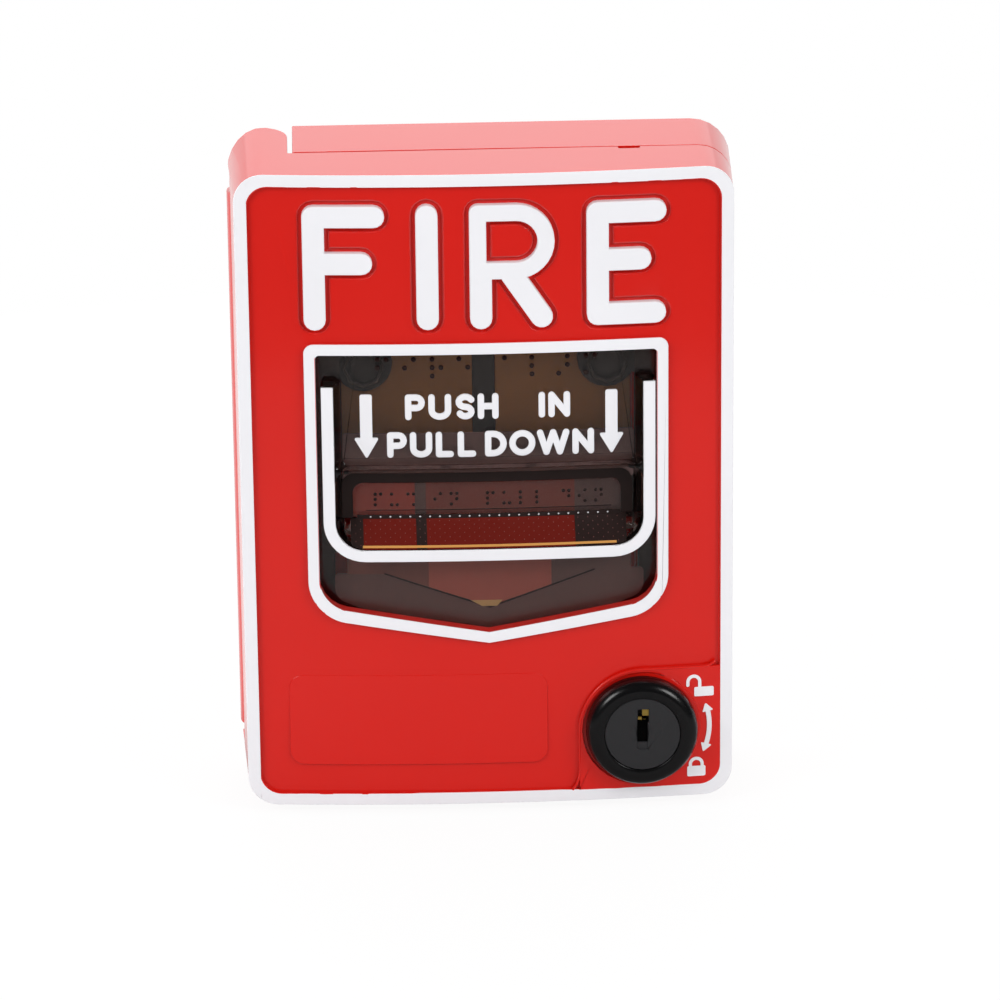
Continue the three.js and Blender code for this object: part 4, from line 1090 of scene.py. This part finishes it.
# The photograph's camera: focal length and frame in pixels, angles in degrees, place in mm
CAMERA = {
    "focal": 5250.69, "frame": 1000, "pitch": 18.587, "roll": -0.6087, "yaw": 2.093,
    "place": (-34.88, -1057.10, 342.75),
}
SENSOR = 36
# Each lamp: its place and diameter in metres, and its power in watts
LAMPS = [
    ("Key left", (-0.8, -0.7, 0.62), 0.5, 4.1),
    ("Key right", (0.8, -0.7, 0.62), 0.5, 4.1),
    ("Left", (-1.0, 0.4, 0.1), 0.6, 3.5),
    ("Back", (0.0, 1.0, 0.42), 0.8, 0.5),
    ("Top", (0.0, 0.75, 0.95), 0.8, 4.4),
]
SOFT_LIGHT = 0.62
# The floor, in metres, and how much of it is a glow
FLOOR_RADIUS = 0.36
FLOOR_GAP = 0.0002
FLOOR_GLOW = 0.92


class CALLPOINT_OT_stage(bpy.types.Operator):
    """Adds the camera at the photograph's angle, the soft lights and the pale floor"""

    bl_idname = "callpoint.stage"
    bl_label = "Camera, lights and floor"

    def execute(self, context):
        scene = context.scene
        scene.view_settings.view_transform = "Standard"
        data = bpy.data.cameras.new("Camera")
        data.sensor_width = SENSOR
        data.lens = SENSOR * CAMERA["focal"] / CAMERA["frame"]
        camera = add_object("Camera", data)
        pitch, roll, yaw = (math.radians(CAMERA[k]) for k in ("pitch", "roll", "yaw"))
        about = Matrix.Rotation
        rows = about(roll, 3, "Z") @ about(pitch + math.pi / 2, 3, "X") @ about(yaw, 3, "Z")
        turn = Matrix((rows[0], -rows[1], -rows[2])).transposed().to_4x4()
        camera.matrix_world = Matrix.Translation(Vector(CAMERA["place"]) * MM) @ turn
        scene.camera = camera

        world = bpy.data.worlds.new("Studio")
        world.use_nodes = True
        tree = world.node_tree
        tree.nodes.clear()
        path = add_node(tree, "LightPath")
        plain = maths(tree, "MAXIMUM", path.outputs["Is Camera Ray"], path.outputs["Is Transmission Ray"])
        shown = maths(tree, "MAXIMUM", plain, path.outputs["Is Glossy Ray"])
        soft = add_node(tree, "Background", {"Color": (1, 1, 1, 1), "Strength": SOFT_LIGHT})
        # The backdrop behind and beside the object is white; the room in front of it is dark.
        way = add_node(tree, "TexCoord").outputs["Generated"]
        room = add_node(tree, "MapRange", {
            "Value": add_node(tree, "SeparateXYZ", {"Vector": way}).outputs["Y"],
            "From Min": 0.1, "From Max": 0.7, "To Min": 0.02, "To Max": 0.9,
        }, interpolation_type="SMOOTHSTEP")
        level = maths(tree, "MAXIMUM", room.outputs[0], plain)
        white = add_node(tree, "Background", {"Color": (1, 1, 1, 1), "Strength": level})
        mixed = add_node(tree, "MixShader", {0: shown, 1: soft.outputs[0], 2: white.outputs[0]})
        add_node(tree, "OutputWorld", {"Surface": mixed.outputs[0]})
        scene.world = world

        for name, place, size, power in LAMPS:
            lamp = bpy.data.lights.new(name, "AREA")
            lamp.shape = "DISK"
            lamp.size = size
            lamp.energy = power
            obj = add_object(name, lamp)
            obj.location = place
            obj.rotation_euler = (-Vector(place)).to_track_quat("-Z", "Y").to_euler()

        shape = bmesh.new()
        bmesh.ops.create_circle(shape, cap_ends=True, radius=FLOOR_RADIUS, segments=64)
        bmesh.ops.translate(shape, verts=shape.verts, vec=(0, 0, CAD_BOX[0][2] - FLOOR_GAP))
        floor = as_object("floor", shape)
        material, tree, at = new_material("Pale floor paper")
        path = add_node(tree, "LightPath")
        tone = add_node(tree, "MapRange", {
            "Value": path.outputs["Is Glossy Ray"], "To Min": 0.8, "To Max": 0.25})
        paper = add_node(tree, "BsdfDiffuse", {"Color": tone.outputs["Result"]})
        glow = add_node(tree, "Emission", {"Color": (1, 1, 1, 1), "Strength": 1.02})
        # White behind the object for the camera and for what the walls mirror, plain paper in front of it
        behind = add_node(tree, "MapRange", {
            "Value": add_node(tree, "SeparateXYZ", {"Vector": at}).outputs["Y"],
            "From Min": -0.02, "From Max": 0.03})
        mirrored = maths(tree, "MULTIPLY", path.outputs["Is Glossy Ray"], behind.outputs["Result"])
        shown = maths(tree, "MAXIMUM", path.outputs["Is Camera Ray"], mirrored)
        share = maths(tree, "MULTIPLY", shown, FLOOR_GLOW)
        both = add_node(tree, "MixShader", {0: share, 1: paper.outputs[0], 2: glow.outputs[0]})
        add_node(tree, "OutputMaterial", {"Surface": both.outputs[0]})
        floor.data.materials.append(material)
        return {"FINISHED"}


class CALLPOINT_PT_panel(bpy.types.Panel):
    """Lists the steps in order"""

    bl_idname = "CALLPOINT_PT_panel"
    bl_label = "Manual call point"
    bl_space_type = "VIEW_3D"
    bl_region_type = "UI"
    bl_category = "Call point"

    def draw(self, context):
        for group in (colours(), sizes()):
            for name in type(group).__annotations__:
                self.layout.prop(group, name)
        for step in STEPS:
            self.layout.operator(step.bl_idname)


STEPS = (
    CALLPOINT_OT_finishes, CALLPOINT_OT_cover, CALLPOINT_OT_word, CALLPOINT_OT_beads,
    CALLPOINT_OT_panel_words, CALLPOINT_OT_braille, CALLPOINT_OT_handle, CALLPOINT_OT_grip,
    CALLPOINT_OT_lock, CALLPOINT_OT_shell, CALLPOINT_OT_springs, CALLPOINT_OT_signs, CALLPOINT_OT_stage,
)
CLASSES = (CallPointColours, CallPointSizes, *STEPS, CALLPOINT_PT_panel)


def register():
    for item in CLASSES:
        bpy.utils.register_class(item)
    bpy.types.Scene.call_point_colours = bpy.props.PointerProperty(type=CallPointColours)
    bpy.types.Scene.call_point_sizes = bpy.props.PointerProperty(type=CallPointSizes)


def unregister():
    del bpy.types.Scene.call_point_sizes
    del bpy.types.Scene.call_point_colours
    for item in reversed(CLASSES):
        bpy.utils.unregister_class(item)


def main():
    register()
    for step in STEPS:
        group, name = step.bl_idname.split(".")
        getattr(getattr(bpy.ops, group), name)()


if __name__ == "__main__":
    main()
